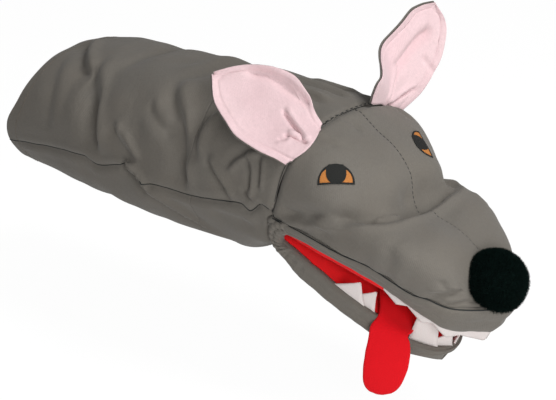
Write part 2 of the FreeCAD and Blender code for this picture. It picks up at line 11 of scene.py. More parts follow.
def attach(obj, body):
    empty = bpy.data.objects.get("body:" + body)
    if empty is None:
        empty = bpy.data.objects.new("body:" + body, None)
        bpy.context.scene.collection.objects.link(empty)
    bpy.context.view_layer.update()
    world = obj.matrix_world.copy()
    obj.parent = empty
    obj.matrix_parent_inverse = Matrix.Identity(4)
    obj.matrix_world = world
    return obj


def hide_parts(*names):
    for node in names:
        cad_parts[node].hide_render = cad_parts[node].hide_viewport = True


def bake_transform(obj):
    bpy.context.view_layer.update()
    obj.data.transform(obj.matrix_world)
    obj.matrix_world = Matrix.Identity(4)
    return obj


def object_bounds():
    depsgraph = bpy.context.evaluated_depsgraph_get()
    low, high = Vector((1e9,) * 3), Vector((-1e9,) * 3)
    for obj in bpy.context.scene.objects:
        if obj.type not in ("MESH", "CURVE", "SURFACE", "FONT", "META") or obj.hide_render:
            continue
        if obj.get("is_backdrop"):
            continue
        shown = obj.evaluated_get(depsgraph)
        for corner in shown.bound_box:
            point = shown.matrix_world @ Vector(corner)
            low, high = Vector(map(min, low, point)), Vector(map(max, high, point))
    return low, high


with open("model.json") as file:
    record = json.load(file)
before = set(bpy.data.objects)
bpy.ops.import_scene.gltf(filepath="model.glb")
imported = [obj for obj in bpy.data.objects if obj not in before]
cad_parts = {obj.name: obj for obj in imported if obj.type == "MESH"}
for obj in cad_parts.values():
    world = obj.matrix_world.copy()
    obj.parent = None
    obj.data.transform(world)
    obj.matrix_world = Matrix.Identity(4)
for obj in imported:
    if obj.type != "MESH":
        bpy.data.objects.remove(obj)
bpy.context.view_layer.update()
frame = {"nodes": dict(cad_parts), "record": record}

bl_info = {
    "name": "Sock Puppet",
    "version": (1, 0, 0),
    "blender": (4, 5, 0),
    "location": "View3D > Sidebar > Puppet",
    "description": "Dresses a sleeved glove puppet: cloth, felt, stitching and a ball nose",
    "category": "Object",
}

# The puppet's frame: origin in the cuff, nose along +X, its left along +Y, up along +Z.  The head and
# the jaw have frames of their own, both hung on the mouth's hinge line.
MM = 0.001
JOINTS = {joint["name"]: joint for joint in frame["record"]["behaviour"]["joints"]}
HINGE = Vector(JOINTS["jaw_open"]["pos_m"])
HEAD_FRAME = Matrix.Translation(HINGE) @ Matrix.Rotation(math.radians(20.0), 4, "Y")
JAW_FRAME = Matrix.Translation(HINGE) @ Matrix.Rotation(math.radians(31.5), 4, "Y")

# Millimetres, as the pattern is cut
HEAD_LENGTH = 181.0
JAW_LENGTH = 157.0
JAW_HALF_WIDTH = 70.0
JAW_TAPER = 0.31 / 161
RIM_HEIGHT = 0.8
RIM_DIP = 5.5
LIP_SETBACK = 6.5
CHIN_DEPTH = 13.0
SLEEVE_LENGTH = 294.0
SIDE_SEAM_HEIGHT = -22.0
NECK_CUT = 216.0
CORNER_THICKNESS = 1.0
THIN_LAYER = 0.8
EAR_THICKNESS = 0.9

# How many rows and points the grids of cloth have; the sleeve's go over its back and under its belly
SLEEVE_ROWS = 210
OVER = 130
UNDER = 90
HEAD_COLUMNS = 161
HEAD_MIDDLE = HEAD_COLUMNS // 2
LIP_POINTS = 110
CHIN_COLUMNS = 61
MOUTH_COLUMNS = 41
CORNER_POINTS = 61
EAR_COLUMNS = 71
BELLY_TURN = OVER // 2

# Along the upper jaw: how high the lip's edge and the seam above it stand over the palate's plane
LIP_EDGE = ((0, 6), (40, 10), (90, 9), (120, 5), (140, 2), (162, -3), (181, -3))
LIP_SEAM = ((0, 14), (30, 18), (65, 19), (90, 22), (125, 19), (137, 21), (150, 20), (181, 25))
# Along the lower jaw: the height of the fold under its band
BAND_FOLD = ((0, -3), (12, -6), (22, -9), (45, -14), (110, -14), (136, -15), (148, -13), (158, -9))
# Along the sleeve: how far its side seams wander up and down
SEAM_WANDER = (
    (0, -2), (90, 4), (106, -1), (143, 6), (165, -2), (210, -5), (270, 1), (279, -3), (290, 4), (300, 0))

# The ears' leaves, base to tip: share of the length, then how far the inner and the outer edge stand
# out from the leaf's axis
EAR_LENGTH = {"left": 96, "right": 92}
EAR_FORM = {
    "left": (
        (-0.05, 49, 9), (0.08, 60, 11), (0.30, 49, 15), (0.60, 39, 14),
        (0.78, 36, 9), (0.90, 28, 3), (0.95, 23, -3), (1.00, 18, -16)),
    "right": (
        (-0.05, 20, 23), (0.08, 23, 25), (0.25, 31, 29), (0.45, 36, 31),
        (0.62, 32, 27), (0.80, 22, 20), (0.90, 13, 13), (1.00, -1, 3)),
}

# Cross-sections of the head, rear to nose: station as a share of the head's length, lip and lip-seam
# half widths, then (half width, height) of the cheek, crease, shoulder and top, and the middle's height
HEAD_FORM = (
    (0.00, 70, 73, (75, 38), (75, 60), (65, 80), (36, 92), 96),
    (0.12, 68, 72, (74, 32), (76, 52), (67, 76), (38, 89), 91),
    (0.25, 64, 69, (71, 34), (73, 50), (62, 70), (36, 84), 86),
    (0.35, 60, 66, (70, 36), (64, 50), (52, 62), (30, 74), 76),
    (0.43, 57, 63, (69, 36), (65, 50), (48, 54), (26, 57), 58),
    (0.51, 54, 61, (68, 36), (65, 51), (46, 57), (24, 56), 53),
    (0.62, 49, 57, (63, 36), (61, 51), (44, 57), (22, 56), 52),
    (0.73, 45, 52, (54, 35), (50, 47), (38, 53), (20, 53), 49),
    (0.83, 38, 43, (43, 33), (38, 42), (28, 47), (14, 46), 43),
    (0.91, 25, 28, (26, 26), (22, 30), (15, 32), (8, 32), 31),
    (0.97, 10.5, 13, (12, 22), (10, 24), (7, 26), (4, 26.5), 26),
    (1.00, 3, 4, (3.8, 20), (3.3, 21), (2.6, 22), (1.5, 22.4), 22.5),
)

# Rings of the sleeve: share of its length, half width, bottom, top, lean
SLEEVE_RINGS = (
    (0.00, 76, -58, 64, 48),
    (0.19, 79, -66, 68, 13.9),
    (0.40, 80, -73, 68, 0),
    (0.64, 79, -78, 66, 0),
    (0.88, 76, -79, 60, 16),
)
# Its main folds: share of the length, angle round it (0 left, 90 back, 180 right), depth, half length
# and half angle
SLEEVE_FOLDS = (
    (0.36, 150, 5.0, 15, 32),
    (0.19, 150, 3.5, 16, 35),
    (0.70, 152, 4.5, 15, 30),
    (0.53, 155, 2.5, 14, 26),
    (0.70, 214, 5.0, 38, 17),
    (0.35, 88, 4.0, 16, 30),
    (0.62, 90, 4.5, 17, 36),
    (0.22, 25, 4.0, 16, 34),
    (0.50, 25, 4.5, 15, 30),
    (0.74, 22, 4.5, 15, 28),
    (0.60, 325, 4.0, 30, 20),
    (0.36, 270, 4.5, 18, 36),
)


# ---------------------------------------------------------------- curves and grids

def eased(xs, ys, at):
    """A smooth curve through (xs, ys) that never overshoots, read at the places given."""
    xs = np.asarray(xs, float)
    ys = np.asarray(ys, float)
    step = np.diff(xs)
    slope = np.diff(ys) / step
    tangent = np.zeros_like(ys)
    same = slope[:-1] * slope[1:] > 0
    left = 2 * step[1:] + step[:-1]
    right = step[1:] + 2 * step[:-1]
    with np.errstate(divide="ignore", invalid="ignore"):
        mean = (left + right) / (left / slope[:-1] + right / slope[1:])
    tangent[1:-1] = np.where(same, mean, 0.0)
    tangent[0] = slope[0]
    tangent[-1] = slope[-1]
    at = np.clip(np.asarray(at, float), xs[0], xs[-1])
    i = np.clip(np.searchsorted(xs, at) - 1, 0, len(xs) - 2)
    t = (at - xs[i]) / step[i]
    return (
        ys[i] * (1 + 2 * t) * (1 - t) ** 2 + ys[i + 1] * t * t * (3 - 2 * t)
        + step[i] * (tangent[i] * t * (1 - t) ** 2 + tangent[i + 1] * t * t * (t - 1))
    )


def read_off(table, at):
    """A table of places and values, read smoothly at other places."""
    return eased(*np.transpose(table), at)


def smooth_line(points, count):
    """A smooth open line through points, cut into count evenly spaced points."""
    points = np.asarray(points, float)
    along = np.concatenate([[0], np.cumsum(np.linalg.norm(np.diff(points, axis=0), axis=1))])
    n = len(points)
    step = np.diff(along)
    system = np.zeros((n, n))
    system[0, 0] = system[-1, -1] = 1
    right = np.zeros_like(points)
    for k in range(1, n - 1):
        system[k, k - 1:k + 2] = (step[k - 1], 2 * (step[k - 1] + step[k]), step[k])
        right[k] = 6 * ((points[k + 1] - points[k]) / step[k] - (points[k] - points[k - 1]) / step[k - 1])
    bend = np.linalg.solve(system, right)
    at = np.linspace(0, along[-1], count * 6)
    i = np.clip(np.searchsorted(along, at) - 1, 0, n - 2)
    h = step[i][:, None]
    a = (along[i + 1] - at)[:, None] / h
    b = 1 - a
    bent = ((a ** 3 - a) * bend[i] + (b ** 3 - b) * bend[i + 1]) * h * h / 6
    dense = a * points[i] + b * points[i + 1] + bent
    return even(dense, count)


def even(dense, count):
    """The same line with count evenly spaced points."""
    along = np.concatenate([[0], np.cumsum(np.linalg.norm(np.diff(dense, axis=0), axis=1))])
    at = np.linspace(0, along[-1], count)
    return np.stack([np.interp(at, along, dense[:, k]) for k in range(dense.shape[1])], axis=1)


def mirrored(half):
    """A right half that ends on the middle, carried on round the left."""
    return np.concatenate([half, half[-2::-1] * (1, -1, 1)])


def placed(points, matrix):
    """Points in millimetres in a local frame, moved to the puppet's frame in metres."""
    points = np.asarray(points, float) * MM
    turn = np.array(matrix.to_3x3())
    return points @ turn.T + np.array(matrix.translation)


def grid_normals(grid, wrap=False):
    """Outward normals of a grid of points whose rows run along the puppet."""
    along = np.gradient(grid, axis=0)
    if wrap:
        across = (np.roll(grid, -1, axis=1) - np.roll(grid, 1, axis=1)) / 2
    else:
        across = np.gradient(grid, axis=1)
    normal = np.cross(along, across)
    length = np.linalg.norm(normal, axis=2, keepdims=True)
    return normal / np.maximum(length, 1e-9)


def smoothstep(low, high, value):
    t = np.clip((value - low) / (high - low), 0, 1)
    return t * t * (3 - 2 * t)


def near_line(points, line, above=None):
    """Distance to a line, the side it lies on, and how far along the line it is.

    In the plane the side is 1 on the line's left; in space it is 1 on the side that above points to.
    """
    best = np.full(points.shape[:-1], 1e9)
    side = np.ones(points.shape[:-1])
    along = np.zeros(points.shape[:-1])
    line = np.asarray(line, float)
    lengths = np.linalg.norm(np.diff(line, axis=0), axis=1)
    total = lengths.sum()
    start = 0.0
    for a, b, length in zip(line, line[1:], lengths):
        run = (b - a) / length
        offset = points - a
        t = np.clip(offset @ run, 0, length)
        gap = offset - t[..., None] * run
        distance = np.linalg.norm(gap, axis=-1)
        turn = gap @ above if above is not None else run[0] * offset[..., 1] - run[1] * offset[..., 0]
        closer = distance < best
        best = np.where(closer, distance, best)
        side = np.where(closer, np.where(turn >= 0, 1.0, -1.0), side)
        along = np.where(closer, (start + t) / total, along)
        start += length
    return best, side, along


def fold_profile(signed, along, lip, fade, spread):
    """A fold's profile: its hollow, the lip beside it, and both easing out towards the line's ends."""
    signed = np.where(signed < 0, signed / spread, signed)
    shape = -np.exp(-signed ** 2) + lip * np.exp(-((signed - 1.9) / 1.3) ** 2)
    return shape * smoothstep(0, fade, along) * smoothstep(0, fade, 1 - along)


def press_fold(grid, facing, line, depth, width, lip=0.5, wrap=False, fade=0.22, spread=1.0):
    """Press a fold into a grid along a line that is drawn from one side.

    facing is the axis looked along and its sign, such as (1, -1) for the right side; the line's points
    leave that axis out.  depth is in the fold, lip is the share of it that rises on the line's left, and
    spread widens the slope on its right.
    """
    axis, sign = facing
    keep = [k for k in range(3) if k != axis]
    normal = grid_normals(grid, wrap)
    line = smooth_line(line, 24) if len(line) > 2 else np.asarray(line, float)
    distance, side, along = near_line(grid[..., keep], line)
    shape = fold_profile(distance * side / width, along, lip, fade, spread)
    seen = smoothstep(0.05, 0.35, normal[..., axis] * sign)
    return grid + normal * (depth * shape * seen)[..., None]


def softened(field, rounds):
    """A field over a grid, averaged with its neighbours a number of times."""
    for _ in range(rounds):
        wide = np.pad(field, ((1, 1), (1, 1), (0, 0)), mode="edge")
        field = (wide[:-2, 1:-1] + wide[2:, 1:-1] + wide[1:-1, :-2] + wide[1:-1, 2:]) / 4
    return field


def press_crease(grid, line, above, depth, width, lip, fade, spread):
    """Press one fold along a line in space, with a wide slope above it and a raised lip below it."""
    distance, side, along = near_line(grid, smooth_line(line, 70), np.asarray(above, float))
    shape = fold_profile(-distance * side / width, along, lip, fade, spread)
    normal = softened(grid_normals(grid), 60)
    normal /= np.linalg.norm(normal, axis=2, keepdims=True)
    return grid + normal * (depth * shape)[..., None]


def relax(grid, centre, radius, rounds):
    """Even out a knot in the cloth round a place."""
    near = np.exp(-(np.linalg.norm(grid - np.asarray(centre, float), axis=-1) / radius) ** 2)[..., None]
    return grid + (softened(grid, rounds) - grid) * near


def dent(grid, centre, radius, depth):
    """Press a round hollow, or raise a bulge where depth is negative."""
    normal = grid_normals(grid)
    distance = np.linalg.norm(grid - np.asarray(centre, float), axis=-1)
    return grid - normal * (depth * np.exp(-(distance / radius) ** 2))[..., None]


def ruffle(grid, scale, height, seed, wrap=False):
    """Uneven cloth: the surface rises and falls by height over about scale millimetres."""
    normal = grid_normals(grid, wrap)
    shift = Vector((seed * 17.3, seed * 5.1, seed * 9.7))
    lift = np.array([noise.noise(Vector(p) / scale + shift) for p in grid.reshape(-1, 3)])
    return grid + normal * (lift.reshape(grid.shape[:2]) * height)[..., None]


# ---------------------------------------------------------------- the head's and the jaw's form

def head_rows(share):
    """The control points of the head's half-section at a share of its length, lip to middle."""
    shares = [row[0] for row in HEAD_FORM]
    lip = eased(shares, [row[1] for row in HEAD_FORM], share)
    seam = eased(shares, [row[2] for row in HEAD_FORM], share)
    points = [(lip, along_lip(LIP_EDGE, share)), (seam, along_lip(LIP_SEAM, share))]
    for level in range(3, 7):
        y = eased(shares, [row[level][0] for row in HEAD_FORM], share)
        z = eased(shares, [row[level][1] for row in HEAD_FORM], share)
        points.append((y, z))
    points.append((0.0 * lip, eased(shares, [row[7] for row in HEAD_FORM], share)))
    return points


def along_lip(table, share):
    """A height from one of the lip's tables, at a share of the head's length."""
    return read_off(table, np.asarray(share) * HEAD_LENGTH)


def jaw_half_width(x):
    share = np.clip(np.asarray(x, float) / JAW_LENGTH, 0, 1)
    return JAW_HALF_WIDTH * (1 - JAW_TAPER * JAW_LENGTH * share) * np.sqrt(np.clip(1 - share ** 4.2, 0, 1))


def rim_height(x):
    """How high the jaw's rim stands; it dips towards the chin."""
    return RIM_HEIGHT - RIM_DIP * smoothstep(114, 138, np.asarray(x, float))


# ---------------------------------------------------------------- meshes

def new_object(name, mesh):
    piece = bpy.data.objects.new(name, mesh)
    bpy.context.scene.collection.objects.link(piece)
    return piece


def grid_piece(name, grid, material, wrap=False):
    """An object from a grid of points in metres, with a UV map in metres of cloth."""
    rows, columns = grid.shape[:2]
    index = np.arange(rows * columns).reshape(rows, columns)
    if wrap:
        index = np.concatenate([index, index[:, :1]], axis=1)
    quads = np.stack([index[:-1, :-1], index[1:, :-1], index[1:, 1:], index[:-1, 1:]], axis=-1).reshape(-1, 4)
    mesh = bpy.data.meshes.new(name)
    mesh.from_pydata(grid.reshape(-1, 3).tolist(), [], quads.tolist())
    closed = np.concatenate([grid, grid[:, :1]], axis=1) if wrap else grid
    step_u = np.linalg.norm(np.diff(closed, axis=0), axis=2).mean(axis=1)
    step_v = np.linalg.norm(np.diff(closed, axis=1), axis=2).mean(axis=0)
    u = np.concatenate([[0], np.cumsum(step_u)])
    v = np.concatenate([[0], np.cumsum(step_v)])
    cells = [(r, c) for r in range(rows - 1) for c in range(closed.shape[1] - 1)]
    layer = mesh.uv_layers.new(name="cloth")
    flat = []
    for r, c in cells:
        flat += [u[r], v[c], u[r + 1], v[c], u[r + 1], v[c + 1], u[r], v[c + 1]]
    layer.data.foreach_set("uv", flat)
    mesh.materials.append(material)
    mesh.polygons.foreach_set("use_smooth", [True] * len(mesh.polygons))
    mesh.update()
    return new_object(name, mesh)


def apply_modifiers(piece):
    """Turn an object and its modifiers into a plain mesh."""
    graph = bpy.context.evaluated_depsgraph_get()
    mesh = bpy.data.meshes.new_from_object(piece.evaluated_get(graph))
    mesh.name = piece.name
    piece.modifiers.clear()
    piece.data = mesh
    return piece


def thicken(piece, thickness, offset=-1.0, crisp=False):
    """Give cloth its thickness in metres, inwards unless offset says otherwise.

    crisp keeps the cut edge flat.
    """
    faces = 2 * len(piece.data.polygons)
    wall = piece.modifiers.new("thickness", "SOLIDIFY")
    wall.thickness = thickness
    wall.offset = offset
    apply_modifiers(piece)
    if crisp:
        for face in piece.data.polygons[faces:]:
            face.use_smooth = False
    return piece


def join(name, pieces):
    """Join loose pieces of one kind into one object."""
    bpy.ops.object.select_all(action="DESELECT")
    for piece in pieces:
        piece.select_set(True)
    bpy.context.view_layer.objects.active = pieces[0]
    if len(pieces) > 1:
        bpy.ops.object.join()
    pieces[0].name = name
    pieces[0].data.name = name
    return pieces[0]


# ---------------------------------------------------------------- geometry node trees

def add_node(tree, kind, settings=None, inputs=None):
    """Add a node: its settings first, then the value or link of each socket.  Gives its outputs."""
    made = tree.nodes.new(kind)
    for key, value in (settings or {}).items():
        setattr(made, key, value)
    for key, value in (inputs or {}).items():
        if isinstance(value, bpy.types.NodeSocket):
            tree.links.new(value, made.inputs[key])
        else:
            made.inputs[key].default_value = value
    return made.outputs


def growing_tree(name, lengths, others):
    """An empty tree with its sockets: lengths by name and default value, then others by name and kind."""
    tree = bpy.data.node_groups.new(name, "GeometryNodeTree")
    face = tree.interface
    face.new_socket("Geometry", in_out="INPUT", socket_type="NodeSocketGeometry")
    for title, value in lengths:
        socket = face.new_socket(title, in_out="INPUT", socket_type="NodeSocketFloat")
        socket.default_value = value
    for title, kind in others:
        face.new_socket(title, in_out="INPUT", socket_type=kind)
    face.new_socket("Geometry", in_out="OUTPUT", socket_type="NodeSocketGeometry")
    return tree


def finish_tree(tree, geometry, finish):
    """Give what grew its material and hand it on."""
    done = add_node(tree, "GeometryNodeSetMaterial", None, {"Geometry": geometry, "Material": finish})
    add_node(tree, "NodeGroupOutput", None, {"Geometry": done["Geometry"]})
    return tree


def thread_tree():
    """Round thread along a line of edges, or separate stitches spaced along it."""
    tree = growing_tree(
        "thread_along_line", (("Thread Radius", 0.0004), ("Stitch Length", 0.002), ("Spacing", 0.003)),
        (("Unbroken", "NodeSocketBool"), ("Thread", "NodeSocketMaterial")))
    given = add_node(tree, "NodeGroupInput")
    radius = given["Thread Radius"]
    curve = add_node(tree, "GeometryNodeMeshToCurve", None, {"Mesh": given["Geometry"]})["Curve"]
    profile = add_node(tree, "GeometryNodeCurvePrimitiveCircle", None, {"Resolution": 7, "Radius": radius})
    tube = add_node(tree, "GeometryNodeCurveToMesh", None, {
        "Fill Caps": True, "Curve": curve, "Profile Curve": profile["Curve"]})
    spaced = add_node(tree, "GeometryNodeResampleCurve", {"mode": "LENGTH"}, {
        "Curve": curve, "Length": given["Spacing"]})
    tangent = add_node(tree, "GeometryNodeInputTangent")["Tangent"]
    turn = add_node(tree, "FunctionNodeAlignRotationToVector", {"axis": "Z"}, {"Vector": tangent})
    bead = add_node(tree, "GeometryNodeMeshUVSphere", None, {"Segments": 7, "Rings": 5, "Radius": 1.0})
    half = add_node(tree, "ShaderNodeMath", {"operation": "MULTIPLY"}, {0: given["Stitch Length"], 1: 0.5})
    size = add_node(tree, "ShaderNodeCombineXYZ", None, {"X": radius, "Y": radius, "Z": half["Value"]})
    stitches = add_node(tree, "GeometryNodeInstanceOnPoints", None, {
        "Points": spaced["Curve"], "Instance": bead["Mesh"], "Rotation": turn["Rotation"],
        "Scale": size["Vector"]})
    choice = add_node(tree, "GeometryNodeSwitch", {"input_type": "GEOMETRY"}, {
        "Switch": given["Unbroken"], "False": stitches["Instances"], "True": tube["Mesh"]})
    real = add_node(tree, "GeometryNodeRealizeInstances", None, {"Geometry": choice["Output"]})
    smooth = add_node(tree, "GeometryNodeSetShadeSmooth", None, {"Geometry": real["Geometry"]})
    return finish_tree(tree, smooth["Geometry"], given["Thread"])


def pile_tree():
    """Clipped pile: short tapered fibres that stand out from a ball, each leaning its own way."""
    tree = growing_tree(
        "clipped_pile",
        (("Density", 1e6), ("Fibre Length", 0.004), ("Fibre Radius", 0.0003), ("Lean", 0.4)),
        (("Pile", "NodeSocketMaterial"),))
    given = add_node(tree, "NodeGroupInput")
    scatter = add_node(tree, "GeometryNodeDistributePointsOnFaces", None, {
        "Seed": 7, "Mesh": given["Geometry"], "Density": given["Density"]})
    fibre = add_node(tree, "GeometryNodeMeshCone", None, {
        "Vertices": 3, "Radius Bottom": given["Fibre Radius"], "Depth": given["Fibre Length"]})
    lean = add_node(tree, "FunctionNodeRandomValue", {"data_type": "FLOAT_VECTOR"}, {
        "Min": (-1, -1, -1), "Max": (1, 1, 1), "Seed": 3})
    scaled = add_node(tree, "ShaderNodeVectorMath", {"operation": "SCALE"}, {
        "Vector": lean["Value"], "Scale": given["Lean"]})
    sway = add_node(tree, "ShaderNodeVectorMath", {"operation": "ADD"}, {
        0: scatter["Normal"], 1: scaled["Vector"]})
    turn = add_node(tree, "FunctionNodeAlignRotationToVector", {"axis": "Z"}, {"Vector": sway["Vector"]})
    length = add_node(tree, "FunctionNodeRandomValue", {"data_type": "FLOAT"}, {2: 0.75, 3: 1.1, "Seed": 5})
    standing = add_node(tree, "GeometryNodeInstanceOnPoints", None, {
        "Points": scatter["Points"], "Instance": fibre["Mesh"], "Rotation": turn["Rotation"],
        "Scale": length[1]})
    both = tree.nodes.new("GeometryNodeJoinGeometry")
    for geometry in (given["Geometry"], standing["Instances"]):
        tree.links.new(geometry, both.inputs["Geometry"])
    real = add_node(tree, "GeometryNodeRealizeInstances", None, {"Geometry": both.outputs["Geometry"]})
    return finish_tree(tree, real["Geometry"], given["Pile"])


def grown(piece, tree, values):
    """Run a tree on an object with named inputs, and keep the result as a plain mesh."""
    growth = piece.modifiers.new("growth", "NODES")
    growth.node_group = tree
    for item in tree.interface.items_tree:
        if item.in_out == "INPUT" and item.name in values:
            growth[item.identifier] = values[item.name]
    return apply_modifiers(piece)


def sewn(name, points, material, radius=0.4, length=2.2, spacing=3.2, unbroken=False):
    """Stitches, or one unbroken thread, along points in metres.  Sizes are in millimetres."""
    mesh = bpy.data.meshes.new(name)
    mesh.from_pydata([tuple(p) for p in points], [(i, i + 1) for i in range(len(points) - 1)], [])
    piece = new_object(name, mesh)
    tree = bpy.data.node_groups.get("thread_along_line") or thread_tree()
    return grown(piece, tree, {
        "Thread Radius": radius * MM,
        "Stitch Length": length * MM,
        "Spacing": spacing * MM,
        "Unbroken": unbroken,
        "Thread": material,
    })


# ---------------------------------------------------------------- shader kit

class Wire:
    """One output of a shader node, with arithmetic that adds Math nodes."""

    def __init__(self, kit, socket):
        self.kit = kit
        self.socket = socket

    def math(self, operation, *others):
        values = {k: other for k, other in enumerate((self,) + others)}
        return self.kit.node("ShaderNodeMath", {"operation": operation}, values)["Value"]

    def __add__(self, other):
        return self.math("ADD", other)

    __radd__ = __add__

    def __mul__(self, other):
        return self.math("MULTIPLY", other)

    __rmul__ = __mul__

    def __sub__(self, other):
        return self.math("SUBTRACT", other)

    def __rsub__(self, other):
        return self.kit.node("ShaderNodeMath", {"operation": "SUBTRACT"}, {0: other, 1: self})["Value"]

    def clamped(self):
        return self.math("MAXIMUM", 0.0).math("MINIMUM", 1.0)


class Outputs:
    """A node's outputs by name or number, each as a Wire."""

    def __init__(self, kit, sockets):
        self.kit = kit
        self.sockets = sockets

    def __getitem__(self, key):
        return Wire(self.kit, self.sockets[key])


class Finish:
    """A material under construction."""

    def __init__(self, name):
        self.material = bpy.data.materials.new(name)
        self.material.use_nodes = True
        self.tree = self.material.node_tree
        self.tree.nodes.clear()
        self.output = self.tree.nodes.new("ShaderNodeOutputMaterial")
        self.cloth = self.node("ShaderNodeUVMap", {"uv_map": "cloth"})["UV"]
        self.place = self.node("ShaderNodeTexCoord")["Object"]

    def node(self, kind, settings=None, inputs=None):
        """Add a node whose inputs are values or wires."""
        given = {key: getattr(value, "socket", value) for key, value in (inputs or {}).items()}
        return Outputs(self, add_node(self.tree, kind, settings, given))

    def noise(self, vector, scale, detail=2.0, roughness=0.5):
        settings = {"noise_dimensions": "3D"}
        inputs = {"Vector": vector, "Scale": scale, "Detail": detail, "Roughness": roughness}
        return self.node("ShaderNodeTexNoise", settings, inputs)["Fac"]

    def stretched(self, vector, scale):
        return self.node("ShaderNodeMapping", None, {"Vector": vector, "Scale": scale})["Vector"]

    def blend(self, factor, first, second):
        """A colour between two; the Mix node's colour sockets go by number, as their names repeat."""
        return self.node("ShaderNodeMix", {"data_type": "RGBA"}, {0: factor, 6: first, 7: second})[2]

    def bump(self, height, strength, distance, under=None):
        inputs = {"Height": height, "Strength": strength, "Distance": distance}
        if under is not None:
            inputs["Normal"] = under
        return self.node("ShaderNodeBump", None, inputs)["Normal"]

    def surface(self, colour, roughness, normal, constants=None):
        inputs = {"Base Color": colour, "Roughness": roughness, "Normal": normal}
        inputs.update(constants or {})
        shader = self.node("ShaderNodeBsdfPrincipled", None, inputs)
        self.tree.links.new(shader["BSDF"].socket, self.output.inputs["Surface"])
        return self.material


def rgb(colour, factor=1.0):
    return (colour[0] * factor, colour[1] * factor, colour[2] * factor, 1.0)


def woven(name, colour, warm, weave=0.5, sheen=0.12):
    """Closely woven cloth: threads both ways, a faint diagonal rib and uneven tone."""
    finish = Finish(name)
    warp = finish.noise(finish.stretched(finish.cloth, (260, 1500, 1)), 1.0, 1.0)
    weft = finish.noise(finish.stretched(finish.cloth, (1500, 260, 1)), 1.0, 1.0)
    threads = (warp + weft) * 0.5
    blotch = finish.noise(finish.place, 22.0, 3.0, 0.6)
    rib = finish.node("ShaderNodeTexWave", {"wave_type": "BANDS", "bands_direction": "DIAGONAL"}, {
        "Vector": finish.cloth, "Scale": 330.0, "Distortion": 1.5, "Detail": 1.0, "Detail Scale": 4.0,
    })["Fac"]
    tone = finish.blend(threads, rgb(colour, 0.80), rgb(colour, 1.22))
    # The blotches blend the tone towards a second colour at random places; for the twill and the eye black
    # that colour is a painted highlight, for the ear cotton a painted shade
    tone = finish.blend((blotch - 0.35).clamped() * 0.6, tone, rgb(warm))
    normal = finish.bump(threads + rib * 0.35, weave, 0.0004)
    normal = finish.bump(finish.noise(finish.cloth, 60.0, 3.0, 0.6), 0.25, 0.0025, normal)
    roughness = threads * 0.12 + 0.80
    return finish.surface(tone, roughness, normal, {
        "Sheen Weight": sheen, "Sheen Roughness": 0.45, "Specular IOR Level": 0.25})


def felted(name, colour, fleck, sheen=0.04):
    """Pressed felt: a fine mat of fibres with no weave."""
    finish = Finish(name)
    mat = finish.noise(finish.cloth, 900.0, 3.0, 0.7)
    soft = finish.noise(finish.place, 45.0, 2.0)
    tone = finish.blend(mat, rgb(colour, 0.86), rgb(colour, 1.10))
    tone = finish.blend((soft - 0.4).clamped() * 0.5, tone, rgb(fleck))
    normal = finish.bump(mat, 0.5, 0.0004)
    normal = finish.bump(soft, 0.2, 0.003, normal)
    return finish.surface(tone, mat * 0.1 + 0.86, normal, {
        "Sheen Weight": sheen, "Sheen Roughness": 0.5, "Specular IOR Level": 0.12})


def sewing_thread(name, colour):
    """Twisted sewing thread, with a slight shine."""
    finish = Finish(name)
    twist = finish.noise(finish.place, 1400.0, 1.0)
    tone = finish.blend(twist, rgb(colour, 0.7), rgb(colour, 1.4))
    return finish.surface(tone, twist * 0.1 + 0.6, finish.bump(twist, 0.4, 0.0002), {
        "Specular IOR Level": 0.3})


def pile(name, colour):
    """Clipped pile that swallows the light, with paler tips here and there."""
    finish = Finish(name)
    clump = finish.noise(finish.place, 260.0, 2.0)
    tone = finish.blend(clump, rgb(colour, 0.6), rgb(colour, 1.9))
    return finish.surface(tone, clump * 0.1 + 0.85, finish.bump(clump, 0.5, 0.0008), {
        "Specular IOR Level": 0.05})


def material(name):
    """A finish by name, made the first time that it is asked for."""
    found = bpy.data.materials.get("finish_" + name)
    if found:
        return found
    colours = bpy.context.scene.puppet_colours
    makers = {
        "twill": lambda n: woven(n, colours.cloth, colours.cloth_warm),
        "pink": lambda n: woven(n, colours.ear, colours.ear_fold_shade, 0.35, 0.2),
        "pocket": lambda n: woven(n, colours.pocket, colours.pocket, 0.5),
        "brightened_mouth_felt": lambda n: felted(n, colours.mouth, colours.mouth),
        "tongue_felt": lambda n: felted(n, colours.tongue, colours.tongue),
        "tooth_felt": lambda n: felted(n, colours.tooth, colours.tooth_blush),
        "wadding": lambda n: felted(n, colours.wadding, colours.wadding),
        "iris": lambda n: woven(n, colours.iris, colours.iris_pale, 0.8, 0.0),
        "eye_black": lambda n: woven(n, colours.eye_black, colours.eye_glint, 0.8, 0.0),
        "thread": lambda n: sewing_thread(n, colours.thread),
        "grey_thread": lambda n: sewing_thread(n, colours.cloth_warm),
        "pompom": lambda n: pile(n, colours.pompom),
    }
    return makers[name]("finish_" + name)


# ---------------------------------------------------------------- settings

def colour_property(name, description, default):
    return FloatVectorProperty(
        name=name, description=description, subtype="COLOR", size=3, min=0.0, max=1.0, default=default)


def length_property(name, description, default):
    return FloatProperty(name=name, description=description, unit="LENGTH", default=default, min=0.0)


